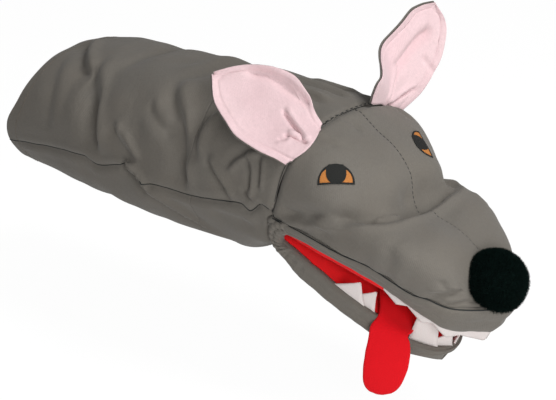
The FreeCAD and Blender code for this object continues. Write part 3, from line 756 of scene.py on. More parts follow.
class PuppetColours(bpy.types.PropertyGroup):
    """Colours of the cloth, felt and thread."""
    cloth: colour_property("Cloth", "Grey twill of the sleeve and head", (0.140, 0.129, 0.113))
    # The warmer patches of this colour fall at random and stand in for the brownish highlights on the twill:
    # painted highlight
    cloth_warm: colour_property("Warm Cloth Highlight", "Warmer patches of the twill", (0.162, 0.136, 0.106))
    ear: colour_property("Ear Cotton", "Pink cotton inside the ears", (0.70, 0.525, 0.54))
    # The deeper pink patches stand in for the shade in the ear's folds: painted shade, laid at random places
    ear_fold_shade: colour_property("Ear Fold Shade", "Deeper patches of the pink cotton", (0.60, 0.36, 0.40))
    # The mouth felt is the tongue's felt painted far brighter: painted light that makes up for the shade
    # inside the mouth
    mouth: colour_property("Mouth Felt", "Red felt that lines the mouth", (0.95, 0.018, 0.023))
    tongue: colour_property("Tongue Felt", "Red felt of the tongue", (0.69, 0.006, 0.012))
    tooth: colour_property("Tooth Felt", "Off-white felt of the teeth", (0.68, 0.63, 0.61))
    tooth_blush: colour_property("Tooth Blush", "Pinkish patches of the tooth felt", (0.62, 0.48, 0.48))
    wadding: colour_property("Wadding", "Polyester wadding", (0.80, 0.80, 0.78))
    pocket: colour_property("Pocket Cloth", "Lining cotton of the hand pockets", (0.10, 0.10, 0.10))
    iris: colour_property("Iris", "Orange part of the eyes", (0.44, 0.165, 0.040))
    iris_pale: colour_property("Iris Pale", "Paler part of the iris", (0.56, 0.27, 0.075))
    eye_black: colour_property("Eye Black", "Black rim and pupil", (0.014, 0.015, 0.014))
    # Lighter brown patches laid at random on the eye's black: painted highlight
    eye_glint: colour_property("Eye Glint", "Brown cast of the pupil", (0.030, 0.020, 0.016))
    thread: colour_property("Thread", "Black sewing thread", (0.012, 0.014, 0.014))
    pompom: colour_property("Pompom", "Black pile of the nose", (0.002, 0.006, 0.005))


class PuppetSizes(bpy.types.PropertyGroup):
    """Sizes that a maker would change."""
    cloth_thickness: length_property("Cloth Thickness", "Thickness of the twill", 0.0012)
    felt_thickness: length_property("Felt Thickness", "Thickness of the felt", 0.0014)
    brow_fold: length_property("Brow Fold", "Depth of the fold between brow and muzzle", 0.0060)
    sleeve_fold: length_property("Sleeve Fold", "Depth of the sleeve's deepest pleat", 0.0100)
    hem_depth: length_property("Hem Depth", "How far the cuff is turned in", 0.014)
    fibre_length: length_property("Fibre Length", "Length of the nose's pile", 0.0032)
    rows: IntProperty(name="Rows", description="Rows of cloth along the head", default=120, min=20, max=300)


# ---------------------------------------------------------------- sleeve

def fold_depth(x, angle):
    """How far the main folds draw the sleeve in, at a station and at angles round it."""
    depth = 0 * angle
    for share, fold_angle, drawn_in, half_length, half_angle in SLEEVE_FOLDS:
        along = (x - share * SLEEVE_LENGTH) / half_length
        around = ((angle - fold_angle + 180) % 360 - 180) / half_angle
        depth = depth + drawn_in * np.exp(-along ** 2 - around ** 2)
    return depth


def sleeve_ring(share):
    """One leaning ring, from the right side seam over the back and under the belly."""
    power = 2.4 - 0.3 * float(1 - smoothstep(0, 0.2, share))
    shares = [row[0] for row in SLEEVE_RINGS]
    half_width, bottom, top, lean = [
        np.interp(share, shares, [row[k] for row in SLEEVE_RINGS]) for k in range(1, 5)]
    middle = (bottom + top) / 2
    half_height = (top - bottom) / 2
    level = (SIDE_SEAM_HEIGHT - middle) / half_height
    seam = math.degrees(math.asin(-abs(level) ** (power / 2)))
    steps = 720
    angle = np.linspace(180 - seam, -180 - seam, steps + 1)
    drawn_in = fold_depth(share * SLEEVE_LENGTH, angle)
    turn = np.radians(angle)
    y = (half_width - drawn_in) * np.sign(np.cos(turn)) * np.abs(np.cos(turn)) ** (2 / power)
    z = (half_height - drawn_in) * np.sign(np.sin(turn)) * np.abs(np.sin(turn)) ** (2 / power)
    x = share * SLEEVE_LENGTH + lean * z / (top - bottom)
    line = np.stack([x, y, middle + z], axis=1)
    left = int(round((180 - 2 * seam) / 360 * steps))
    return np.concatenate([even(line[:left + 1], OVER), even(line[left:], UNDER)[1:-1]])


def neck_ring():
    """The seam between sleeve and head: round the head's rear edge and under the jaw's."""
    half = placed(
        [(0.5, -73.3, 18), (-0.4, -75, 38), (-0.4, -75, 60), (-0.4, -65, 80), (-0.4, -36, 92), (-0.4, 0, 96)],
        HEAD_FRAME) / MM
    top = smooth_line(mirrored(half), OVER)
    side = placed([(0.5, -73.3, 18), (2.0, -72.2, 8)], HEAD_FRAME) / MM
    jaw = placed(
        [(4.5, -70.6, -1), (7.5, -69.4, -6), (5, -64, -13), (1, -43, -24), (-1, 0, -29)], JAW_FRAME) / MM
    half = np.concatenate([side, jaw])
    below = smooth_line(mirrored(half)[::-1], UNDER)
    return np.concatenate([top, below[1:-1]])


def sleeve_grid():
    """The sleeve's outer surface in millimetres, cuff to neck seam, and the rows' stations."""
    shares = np.concatenate([np.arange(0, 0.83, 0.03), [0.84], [1.03]])
    rings = np.array([sleeve_ring(share) for share in shares[:-1]] + [neck_ring()])
    at = np.linspace(0, shares[-1], SLEEVE_ROWS)
    flat = rings.reshape(len(rings), -1)
    grid = np.stack([eased(shares, flat[:, k], at) for k in range(flat.shape[1])], axis=1)
    return grid.reshape(SLEEVE_ROWS, -1, 3), at * SLEEVE_LENGTH


RIGHT = (1, -1)
LEFT = (1, 1)
TOP = (2, 1)
BELLY = (2, -1)


def sleeve_folds(grid, pleat_depth):
    """Folds of a sleeve that hangs loosely from the head: side pleats, soft drapes and neck puckers."""
    folds = (
        (RIGHT, [(140, -12), (151, -19), (160, -26), (170, -34)], pleat_depth * 0.8, 3.0, 0.8, 2.6),
        (TOP, [(34, -8), (46, -28), (66, -50), (84, -62)], 6.0, 4.4, 0.6, 2.5),
        (RIGHT, [(76, 62), (92, 44), (102, 28), (106, 8), (107, -13)], 7.0, 5.0, 0.5, 3.0),
        (RIGHT, [(30, 60), (44, 42), (46, 20), (44, -6)], 2.6, 6.0, 0.4, 2.0),
        (RIGHT, [(128, 22), (135, 10), (148, -4), (156, -14)], 4.2, 3.8, 0.7, 2.4),
        (RIGHT, [(140, 16), (150, 2), (160, -10)], 1.8, 2.6, 0.6, 1.6),
        (RIGHT, [(170, 58), (186, 46), (200, 30), (207, 12), (210, -7), (210, -27)], 5.6, 4.6, 0.6, 2.6),
        (RIGHT, [(162, 44), (174, 33), (188, 24), (199, 18)], 3.0, 3.6, 0.5, 2.0),
        (RIGHT, [(240, 58), (228, 46), (221, 30), (222, 14), (228, 4)], 5.0, 4.2, 0.5, 2.4),
        (RIGHT, [(234, 12), (244, 0), (254, -12), (262, -22)], 4.4, 2.6, 0.8, 2.0),
        (RIGHT, [(288, 30), (272, 22), (262, 14), (254, 4)], 2.8, 2.6, 0.7, 1.8),
        (RIGHT, [(270, 22), (279, 10), (279, -4), (277, -17)], 2.8, 2.0, 0.8, 1.6),
        (RIGHT, [(287, 22), (290, 8), (288, -6)], 2.4, 1.8, 0.8, 1.4),
        (RIGHT, [(270, -6), (280, -14), (292, -22)], 2.2, 1.8, 0.8, 1.4),
        (RIGHT, [(236, -34), (262, -36), (286, -40)], 1.6, 4.0, 0.6, 1.5),
        (LEFT, [(70, 58), (62, 30), (66, -4)], 3.4, 6.0, 0.5, 2.0),
        (LEFT, [(140, 56), (150, 28), (146, -10)], 3.4, 4.5, 0.8, 2.0),
        (LEFT, [(196, 50), (212, 18), (218, -18)], 4.0, 4.0, 0.8, 2.0),
        (LEFT, [(236, 40), (252, 16), (268, -8)], 3.0, 3.0, 0.8, 1.6),
        (LEFT, [(280, 34), (280, 12), (284, -8)], 2.6, 2.4, 0.8, 1.4),
        (LEFT, [(150, -34), (190, -52), (250, -54)], 4.4, 4.0, 0.8, 2.0),
        (TOP, [(110, -50), (112, -10), (104, 30)], 2.6, 6.0, 0.6, 2.0),
        (TOP, [(176, -44), (186, -12), (182, 24), (190, 50)], 3.0, 6.0, 0.8, 2.0),
        (TOP, [(226, -50), (248, -34), (270, -12)], 3.4, 4.0, 0.8, 2.0),
        (TOP, [(254, -46), (276, -32), (306, -30)], 3.0, 2.8, 0.8, 1.6),
        (TOP, [(244, -20), (274, -12), (310, -14)], 3.2, 3.0, 0.8, 1.6),
        (TOP, [(252, 10), (282, 14), (314, 10)], 2.8, 2.8, 0.8, 1.6),
        (TOP, [(244, 40), (272, 36), (304, 38)], 3.0, 3.2, 0.8, 1.6),
        (BELLY, [(60, -30), (110, -14), (170, -20)], 3.2, 6.0, 0.8, 1.6),
        (BELLY, [(120, 24), (180, 14), (240, 22)], 3.2, 6.0, 0.8, 1.6),
        (BELLY, [(236, -10), (258, -14), (272, -8)], 2.6, 4.0, 0.8, 1.6),
    )
    for facing, line, depth, width, lip, spread in folds:
        grid = press_fold(grid, facing, line, depth, width, lip, wrap=True, spread=spread)
    belly = [
        (150, -75, -30), (166, -79, -34), (180, -78, -40), (191, -72, -47),
        (202, -65, -54), (222, -56, -62), (246, -46, -68)]
    turned = np.roll(grid, BELLY_TURN, axis=1)
    turned = press_crease(turned, belly, (0, 0.4, -1), 4.2, 3.0, 0.8, 0.25, 2.6)
    grid = np.roll(turned, -BELLY_TURN, axis=1)
    knot = relax(grid, (213, -76, 16), 9.0, 40)
    return relax(knot, (157, -79, -22), 5.0, 20)


def tuck_edge(grid, wrap, reach, depth, end=-1):
    """Roll the rows at one end of a grid in towards the seam that holds them."""
    normal = grid_normals(grid, wrap)
    step = np.linalg.norm(grid - grid[[end]], axis=2)
    return grid - normal * (depth * np.exp(-(step / reach) ** 2))[..., None]


def make_sleeve(sizes):
    """The sleeve in its two parts, its grid in millimetres and the row where it is cut."""
    grid, at = sleeve_grid()
    x = grid[..., 0]
    beside = np.exp(-((grid[..., 2] - SIDE_SEAM_HEIGHT) / 16) ** 2)
    grid[..., 2] += read_off(SEAM_WANDER, x) * beside
    grid[..., 0] -= 9 * np.exp(-(at / 22) ** 2)[:, None] * np.exp(-((grid[..., 2] + 12) / 26) ** 2)
    grid = ruffle(grid, 70.0, 2.6, 1, wrap=True)
    grid = ruffle(grid, 24.0, 1.3, 2, wrap=True)
    grid = sleeve_folds(grid, sizes.sleeve_fold / MM)
    columns = np.arange(grid.shape[1])
    for column in (0, OVER - 1):
        away = (columns - column + grid.shape[1] // 2) % grid.shape[1] - grid.shape[1] // 2
        groove = 2.2 * np.exp(-(away / 0.8) ** 2) - 0.9 * np.exp(-((np.abs(away) - 3.2) / 1.6) ** 2)
        groove = groove[None] * smoothstep(2, 18, at)[:, None]
        grid = grid - grid_normals(grid, True) * groove[..., None]
    grid = tuck_edge(grid, True, 3.0, 2.4)
    cut = int(np.searchsorted(at, NECK_CUT))
    rear = grid_piece("sleeve_skin_rear", grid[:cut + 1] * MM, material("twill"), wrap=True)
    front = grid_piece("sleeve_skin_front", grid[cut:] * MM, material("twill"), wrap=True)
    for piece in (rear, front):
        thicken(piece, sizes.cloth_thickness, crisp=True)
    return rear, front, grid, cut


def blend_rear(piece):
    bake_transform(piece)


def blend_front(piece):
    """Bake the piece's transform into its mesh."""
    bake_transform(piece)


class PUPPET_OT_sleeve(bpy.types.Operator):
    """Make the sleeve, its cuff hem and its side seams"""
    bl_idname = "puppet.sleeve"
    bl_label = "Sleeve"

    def execute(self, context):
        sizes = context.scene.puppet_sizes
        rear, front, grid, cut = make_sleeve(sizes)
        hem = grid[:12] - grid_normals(grid, True)[:12] * 2.4
        inner = hem - grid_normals(hem, True) * 0.1
        lip = (grid[0] + inner[0]) / 2 - np.array((1.6, 0, 0))
        outer = grid[:1] + grid_normals(grid, True)[:1] * 0.15
        turned = np.concatenate([inner[::-1], lip[None], outer, grid[1:2]])
        edge = grid_piece("cuff_fold", turned * MM, material("twill"), wrap=True)
        normal = grid_normals(grid, True)
        hem_row = 7
        ring = (grid + normal * 0.15)[hem_row]
        ring = np.concatenate([ring, ring[:1]])
        stitches = sewn("cuff_stitches", ring * MM, material("grey_thread"), 0.26, 2.2, 3.0)
        blend_rear(rear)
        blend_front(front)
        # The side seams' thread is black and unbroken so that it also draws the dark shadow of the seams'
        # crease: real stitching with painted shadow
        for name, column in (("right", 0), ("left", OVER - 1)):
            line = (grid[:, column] + normal[:, column] * 0.1) * MM
            blend_rear(sewn("side_seam_rear_" + name, line[:cut + 1], material("thread"), 0.5, unbroken=True))
            blend_front(sewn("side_seam_front_" + name, line[cut:-3], material("thread"), 0.5, unbroken=True))
        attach(edge, "sleeve")
        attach(stitches, "sleeve")
        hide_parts("sleeve_back_panel", "sleeve_belly_panel")
        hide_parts("neck_gather")
        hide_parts("cuff_hem")
        return {"FINISHED"}


# ---------------------------------------------------------------- head

def head_grid(rows):
    """The head's skin above the lip seam in millimetres, rear to nose, right seam to left seam."""
    share = 1 - (1 - np.linspace(0, 1, rows)) ** 1.15
    share = np.clip(share, 0, 1)
    controls = head_rows(share)[1:]
    lines = []
    for k, s in enumerate(share):
        half = np.array([(s * HEAD_LENGTH, -y[k], z[k]) for y, z in controls])
        lines.append(smooth_line(mirrored(half), HEAD_COLUMNS))
    return np.array(lines)


def head_folds(grid, brow_fold):
    """The fold between brow and muzzle, the pull at its middle, and the small puckers."""
    half = [(2, -74, 22), (16.5, -74, 26), (43, -70, 41), (63.5, -64, 49.5), (80, -52, 56.5), (86, -29, 57),
            (86, -8, 53)]
    crease = half + [(x, -y, z) for x, y, z in reversed(half)]
    grid = press_crease(grid, crease, (-0.5, 0, 0.85), brow_fold, 3.0, 0.5, 0.08, 2.8)
    for side in (-1, 1):
        grid = relax(grid, (79, side * 43, 57), 13.0, 30)
        grid = relax(grid, (46, side * 69, 42.5), 7.0, 18)
        grid = relax(grid, (28, side * 70, 29), 8.0, 20)
        grid = dent(grid, (79, side * 12, 61), 9.0, 3.4)
    for y in (-36, 36):
        grid = dent(grid, (68, y, 72), 18.0, -3.6)
    grid = dent(grid, (128, -46, 44), 16.0, -1.6)
    grid = dent(grid, (146, -23, 44), 15.0, 6.0)
    grid = dent(grid, (160, -24, 36), 12.0, 5.0)
    grid = press_fold(grid, LEFT, [(112, 51), (100, 53), (92, 54)], -1.0, 5.0, 0.2)
    grid = dent(grid, (76, 60, 56), 9.0, 2.5)
    puckers = (
        (RIGHT, [(136, 25), (146, 31), (158, 34)], 2.2, 2.4, 0.8),
        (RIGHT, [(146, 22), (156, 26), (166, 28)], 1.8, 1.8, 0.7),
        (RIGHT, [(138, 42), (146, 36), (156, 34)], 1.6, 2.0, 0.6),
        (LEFT, [(140, 21), (150, 27), (160, 31)], 1.8, 2.2, 0.5),
        (RIGHT, [(6, 27), (22, 30), (42, 31), (60, 30)], 1.0, 2.6, 0.9),
        (RIGHT, [(96, 52), (104, 40), (100, 30)], 1.0, 5.0, 0.8),
        (TOP, [(2, -58), (14, -52), (26, -50)], 1.4, 3.0, 0.5),
        (TOP, [(2, 56), (12, 50), (26, 52)], 1.4, 3.0, 0.5),
        (TOP, [(1, -22), (12, -18), (22, -20)], 1.4, 3.0, 0.5),
    )
    for facing, line, depth, width, lip in puckers:
        grid = press_fold(grid, facing, line, depth, width, lip)
    return grid


def head_surface(sizes):
    """The finished head skin in millimetres, in the head's frame."""
    grid = head_grid(sizes.rows)
    grid = ruffle(grid, 46.0, 2.2, 3)
    grid = ruffle(grid, 15.0, 0.5, 4)
    grid = head_folds(grid, sizes.brow_fold / MM)
    grid = dent(grid, (48, 45, 76), 20.0, 3.0)
    grid[..., 1] += 5.0 * smoothstep(84, 104, grid[..., 0]) * np.exp(-(grid[..., 1] / 26) ** 2)
    normal = grid_normals(grid)
    columns = np.arange(grid.shape[1])
    middle = 1.3 * np.exp(-((columns - HEAD_MIDDLE) / 0.9) ** 2)
    edge = np.minimum(columns, columns[::-1])
    x = grid[:, :, 0]
    gathers = 0.7 * np.sin(x / 2.9) * np.exp(-(edge[None] / 7.0) ** 2) * smoothstep(60, 120, x)
    roll = 1.6 * np.exp(-(edge / 1.1) ** 2)
    grid = grid + normal * (gathers - middle[None] - roll[None])[..., None]
    return tuck_edge(grid, False, 3.0, 2.6, end=0)


class PUPPET_OT_head(bpy.types.Operator):
    """Make the head's cloth, its middle seam and the wadding inside"""
    bl_idname = "puppet.head"
    bl_label = "Head"

    def execute(self, context):
        sizes = context.scene.puppet_sizes
        grid = head_surface(sizes)
        skin = grid_piece("head_skin", placed(grid, HEAD_FRAME), material("twill"))
        thicken(skin, sizes.cloth_thickness)
        normal = grid_normals(grid)
        seam = grid[1:-8, HEAD_MIDDLE] + normal[1:-8, HEAD_MIDDLE] * 0.15
        dots = sewn("middle_seam", placed(seam, HEAD_FRAME), material("thread"), 0.38, 2.8, 3.9)
        plain = head_grid(sizes.rows)
        plain_normal = grid_normals(plain)
        wadding = plain - plain_normal * 11.0
        inner = plain - plain_normal * 20.0
        last = int(np.searchsorted(grid[:, HEAD_MIDDLE, 0], 150.0))
        shell = np.concatenate([inner[4:last][::-1], wadding[4:last]])
        stuffing = grid_piece("head_wadding", placed(shell, HEAD_FRAME), material("wadding"))
        tape = (grid - normal * 3.4)[2:9]
        tape_piece = grid_piece("seam_tape", placed(tape, HEAD_FRAME), material("pocket"))
        thicken(tape_piece, sizes.felt_thickness)
        ring = neck_ring()[:OVER]
        outward = ring - np.array((285, 0, -5))
        outward /= np.linalg.norm(outward, axis=1, keepdims=True)
        # The neck seam's black unbroken thread also draws the dark shadow line between the seam's two ridges:
        # real stitching with painted shadow
        neck_thread = sewn("neck_seam", (ring - outward * 1.9) * MM, material("thread"), 0.26, unbroken=True)
        crown = (ring + outward * 0.5)[44:86]
        gather_stitches = sewn("neck_stitches", crown * MM, material("thread"), 0.45, 4.2, 6.0)
        for piece in (skin, dots, stuffing, tape_piece, neck_thread, gather_stitches):
            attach(piece, "head")
        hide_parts("head_right_panel", "head_left_panel")
        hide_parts("head_padding")
        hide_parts("neck_seam_tape")
        return {"FINISHED"}


# ---------------------------------------------------------------- lips and lining

def lip_x(share):
    """How far forward the lip's edge and the felt behind it reach; the snout overhangs them."""
    return share * HEAD_LENGTH - LIP_SETBACK * smoothstep(0.78, 1.0, share)


def upper_outline(level):
    """The upper lip's edge (level 0) or seam (level 1), right corner round the nose to the left."""
    share = 1 - (1 - np.linspace(0, 1, LIP_POINTS)) ** 1.6
    y, z = head_rows(share)[level]
    right = np.stack([share * HEAD_LENGTH if level else lip_x(share), -y, z], axis=1)
    return np.concatenate([right, right[::-1] * (1, -1, 1)])


def outline_normals(line):
    """Sideways normals of an outline seen from above, pointing out of the mouth."""
    run = np.gradient(line[:, :2], axis=0)
    normal = np.stack([run[:, 1], -run[:, 0], 0 * run[:, 0]], axis=1)
    return normal / np.maximum(np.linalg.norm(normal, axis=1, keepdims=True), 1e-9)


def band_grid(low, high, bulge, roll, inward):
    """A rolled cloth band between two outlines: inside edge, fold, puffed face and tucked top."""
    out = outline_normals(low)
    inside = ((inward, 1.6), (2.2, 0.5), (0.9, 0.0), (0.2, 0.4))
    rows = [low - out * back + (0, 0, lift) for back, lift in inside]
    for w in np.linspace(0.08, 0.94, 15):
        swell = 0.5 * math.sin(math.pi * w) ** 0.7 + 0.5 * abs(math.sin(2 * math.pi * w))
        rows.append(low + (high - low) * w + out * bulge * swell)
    rows.append(high - out * 0.4)
    rows.append(high - out * roll + (0, 0, 0.6))
    return np.array(rows)


class PUPPET_OT_lips(bpy.types.Operator):
    """Make the cloth bands round both lips and the chin"""
    bl_idname = "puppet.lips"
    bl_label = "Lips"

    def execute(self, context):
        sizes = context.scene.puppet_sizes
        low = upper_outline(0)
        high = upper_outline(1)
        band = band_grid(low, high, 1.8, 2.4, 5.0)
        band = ruffle(band, 9.0, 0.5, 5)
        upper = grid_piece("upper_lip", placed(band, HEAD_FRAME), material("twill"))
        thicken(upper, THIN_LAYER * MM)
        # The upper lip seam's black unbroken thread also draws the thin dark shadow of the seam's pucker:
        # real stitching with painted shadow
        seam = placed((high + outline_normals(low) * 0.1 + (0, 0, 0.3))[1:-1], HEAD_FRAME)
        thread = sewn("upper_lip_seam", seam, material("thread"), 0.55, unbroken=True)
        lower, chin, lower_thread = self.make_lower(sizes)
        for piece in (upper, thread):
            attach(piece, "head")
        for piece in (lower, chin, lower_thread):
            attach(piece, "jaw")
        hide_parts("upper_lip_band")
        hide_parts("lower_lip_band")
        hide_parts("chin_panel")
        return {"FINISHED"}

    def make_lower(self, sizes):
        """The jaw's band, hung from the rim to the fold, and the chin below it."""
        x = 9.0 + (JAW_LENGTH - 9.0) * (1 - (1 - np.linspace(0.0, 0.997, LIP_POINTS)) ** 1.7)
        right = np.stack([x, -jaw_half_width(x), 0 * x], axis=1)
        rim = np.concatenate([right, right[::-1] * (1, -1, 1)])
        out = outline_normals(rim)
        fold = read_off(BAND_FOLD, rim[:, 0])
        brim = rim_height(rim[:, 0])
        lift = np.array((0, 0, 1.0))
        wrinkle = 0.9 * np.sin(rim[:, 0] / 1.3) * (1 - smoothstep(16, 60, rim[:, 0]))
        rows = []
        for inward, drop in ((6.0, -1.6), (3.4, -0.6), (1.8, 0.2), (0.7, 0.0), (0.0, -0.9)):
            rows.append(rim - out * inward + lift * (drop + brim)[:, None])
        for w in np.linspace(0.1, 0.97, 13):
            height = brim + (fold - brim) * w
            swell = 0.5 * math.sin(math.pi * w) + 0.8 * abs(math.sin(2 * math.pi * w)) + 0.2
            face = rim + out * swell + lift * height[:, None]
            ridge = math.exp(-((w - 0.45) / 0.16) ** 2)
            rows.append(face + out * (wrinkle * (0.5 + ridge))[:, None] * 0.7)
        rows.append(rim - out * 1.8 + lift * (fold - 0.2)[:, None])
        band = ruffle(np.array(rows)[::-1], 9.0, 0.5, 6)
        lower = grid_piece("lower_lip", placed(band, JAW_FRAME), material("twill"))
        thicken(lower, THIN_LAYER * MM)
        lines = []
        for station in 2.0 + (JAW_LENGTH - 2.0) * (1 - (1 - np.linspace(0.0, 0.985, 60)) ** 1.4):
            half = float(jaw_half_width(station)) - 0.7
            edge = float(read_off(BAND_FOLD, station))
            swell = CHIN_DEPTH * math.sin(math.pi * min(0.18 + 0.72 * station / JAW_LENGTH, 1.0))
            points = [(station, -half, edge + 1.2), (station, -half * 0.97, edge - 1.6),
                      (station, -half * 0.66, -17.0 - 0.72 * swell), (station, 0, -19.0 - swell)]
            lines.append(smooth_line(mirrored(np.array(points)), CHIN_COLUMNS))
        under = np.array(lines)[:, ::-1]
        under = ruffle(under, 30.0, 1.2, 7)
        chin = grid_piece("chin", placed(under, JAW_FRAME), material("twill"))
        thicken(chin, sizes.cloth_thickness)
        self.make_wadding(under)
        line = rim - out * 0.9 + lift * fold[:, None]
        thread = sewn("lower_lip_seam", placed(line[2:-2], JAW_FRAME), material("thread"), 0.4, unbroken=True)
        return lower, chin, thread

    def make_wadding(self, under):
        """The jaw's wadding, between the chin's cloth and the felt."""
        inner = under[4:-3, 3:-3] + grid_normals(under)[4:-3, 3:-3] * -3.0
        top = inner[:, ::-1].copy()
        dome = 1.5 + 8.0 * (1 - np.linspace(-1, 1, top.shape[1]) ** 2)
        top[..., 2] = np.minimum(-5.5, top[..., 2] + dome)
        closed = np.concatenate([inner, top], axis=1)
        ends = [closed[k].mean(axis=0) * 0.9 + closed[k] * 0.1 for k in (0, -1)]
        closed = np.concatenate([ends[:1], closed, ends[1:]])
        wadding = grid_piece("jaw_wadding", placed(closed, JAW_FRAME), material("wadding"), wrap=True)
        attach(wadding, "jaw")
        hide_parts("jaw_padding")


class PUPPET_OT_mouth(bpy.types.Operator):
    """Make the red felt that lines the mouth"""
    bl_idname = "puppet.mouth"
    bl_label = "Mouth Lining"

    def execute(self, context):
        across = np.sin(np.linspace(-0.5, 0.5, MOUTH_COLUMNS) * math.pi)
        x = HEAD_LENGTH * (1 - (1 - np.linspace(0.0, 0.985, 70)) ** 1.4)
        half, edge = head_rows(x / HEAD_LENGTH)[0]
        half = half - 2.6
        rise = (edge + 1.0)[:, None] * smoothstep(0.93, 1.0, np.abs(across))[None]
        roof = np.stack([
            np.repeat(lip_x(x / HEAD_LENGTH)[:, None], MOUTH_COLUMNS, 1), half[:, None] * across[None],
            1.2 + 1.6 * (1 - across[None] ** 2) + rise], axis=2)
        roof = ruffle(roof, 26.0, 0.7, 8)
        palate = grid_piece("palate", placed(roof[:, ::-1], HEAD_FRAME), material("brightened_mouth_felt"))
        thicken(palate, THIN_LAYER * MM)
        x = JAW_LENGTH * (1 - (1 - np.linspace(0.0, 0.985, 70)) ** 1.4)
        half = jaw_half_width(x) - 2.6
        edge = np.maximum(smoothstep(0.6, 1.0, np.abs(across))[None], smoothstep(136, 152, x)[:, None])
        dip = (rim_height(x) - RIM_HEIGHT)[:, None] * edge
        floor = np.stack([
            np.repeat(x[:, None], MOUTH_COLUMNS, 1), half[:, None] * across[None],
            RIM_HEIGHT - 1.0 - 2.4 * (1 - across[None] ** 2) + dip], axis=2)
        floor = ruffle(floor, 26.0, 0.7, 9)
        lining = grid_piece("jaw_felt", placed(floor, JAW_FRAME), material("brightened_mouth_felt"))
        thicken(lining, THIN_LAYER * MM)
        fold = self.make_fold(across)
        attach(palate, "head")
        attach(lining, "jaw")
        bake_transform(fold)
        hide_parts("palate_lining")
        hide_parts("jaw_lining")
        return {"FINISHED"}

    def make_fold(self, across):
        """The felt's turn at the back of the mouth, between palate and jaw lining."""
        arch = 1 - across * across
        forward = 0 * across + 0.4
        rise = 7.5 * smoothstep(0.93, 1.0, np.abs(across))
        upper = placed(np.stack([forward, 67.4 * across, 1.2 + 1.6 * arch + rise], axis=1), HEAD_FRAME)
        lower = placed(np.stack([forward, 67.4 * across, RIM_HEIGHT - 1.0 - 2.4 * arch], axis=1), JAW_FRAME)
        rows = []
        for t in np.linspace(0, 1, 9):
            back = np.array((-3.2 * MM * math.sin(math.pi * t), 0, 0))
            rows.append(upper * (1 - t) + lower * t + back)
        return grid_piece("mouth_fold", np.array(rows), material("brightened_mouth_felt"))


# ---------------------------------------------------------------- teeth and tongue

def tooth(foot_a, foot_b, tip_a, tip_b, inward, curl):
    """One felt tooth in millimetres: two feet and a tip or a short top edge, curled a little inwards."""
    rows = []
    for t in np.linspace(0, 0.98, 9):
        left = foot_a + (tip_a - foot_a) * t
        right = foot_b + (tip_b - foot_b) * t
        line = np.linspace(left, right, 7) + inward * curl * t * t
        line -= inward * (0.4 * np.sin(np.linspace(0, math.pi, 7)))[:, None]
        rows.append(line)
    return np.array(rows)


class PUPPET_OT_teeth(bpy.types.Operator):
    """Make the zigzag felt teeth"""
    bl_idname = "puppet.teeth"
    bl_label = "Teeth"

    def execute(self, context):
        sizes = context.scene.puppet_sizes
        lower = join("lower_teeth_felt", self.lower_row())
        upper = join("upper_teeth_felt", self.upper_row())
        for piece in (lower, upper):
            thicken(piece, sizes.felt_thickness, 0.0)
        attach(lower, "jaw")
        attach(upper, "head")
        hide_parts("lower_teeth")
        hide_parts("upper_teeth")
        return {"FINISHED"}

    def rim_point(self, x, side, inset, lift):
        return np.array((x, side * (float(jaw_half_width(x)) - inset), lift + float(rim_height(x))))

    def lower_row(self):
        """Teeth that stand inside the jaw's rim: start, end, top's ends, height and inset of each."""
        rows = (
            (64, 96, 81, 81, 14.6, 2.0), (79, 103, 94, 94, 15.0, 4.0),
            (132, 151, 126, 140, 27, 4.4), (141, 156.5, 150, 152, 14, 5.4),
        )
        pieces = []
        for side in (-1, 1):
            for start, end, top, top_end, height, inset in rows:
                feet = [self.rim_point(x, side, inset, -1.5) for x in (start, end)]
                tips = [self.rim_point(x, side, inset + 1.0, height) for x in (top, top_end)]
                cells = tooth(*feet, *tips, np.array((0, -side, 0.0)), 3.0)
                if side > 0:
                    cells = cells[:, ::-1]
                pieces.append(grid_piece("tooth", placed(cells, JAW_FRAME), material("tooth_felt")))
        return pieces

    def upper_row(self):
        """A folded felt strip under the upper lip, cut in long low points."""
        x = HEAD_LENGTH * (1 - (1 - np.linspace(0.42, 0.999, 150)) ** 1.5)
        tip = 0.62
        phase = ((x - 78) / 22.0) % 1.0
        zig = 1 - np.abs(phase - tip) / np.where(phase < tip, tip, 1 - tip)
        drop = smoothstep(0.40 * HEAD_LENGTH, 0.52 * HEAD_LENGTH, x) * (3.0 + 5.0 * zig)
        drop = drop + 2.6 * smoothstep(150, 172, x)
        half, edge = head_rows(x / HEAD_LENGTH)[0]
        right = np.stack([lip_x(x / HEAD_LENGTH), 1.4 - half, edge], axis=1)
        line = np.concatenate([right, right[::-1] * (1, -1, 1)])
        drop = np.concatenate([drop, drop[::-1]])
        out = outline_normals(line)
        rows = []
        for t in np.linspace(0, 1, 6):
            row = line - out * (0.4 + 1.2 * t)
            row[:, 2] += 1.5 - (drop + 1.5) * t
            rows.append(row)
        cells = np.array(rows)[::-1]
        return [grid_piece("upper_strip", placed(cells, HEAD_FRAME), material("tooth_felt"))]


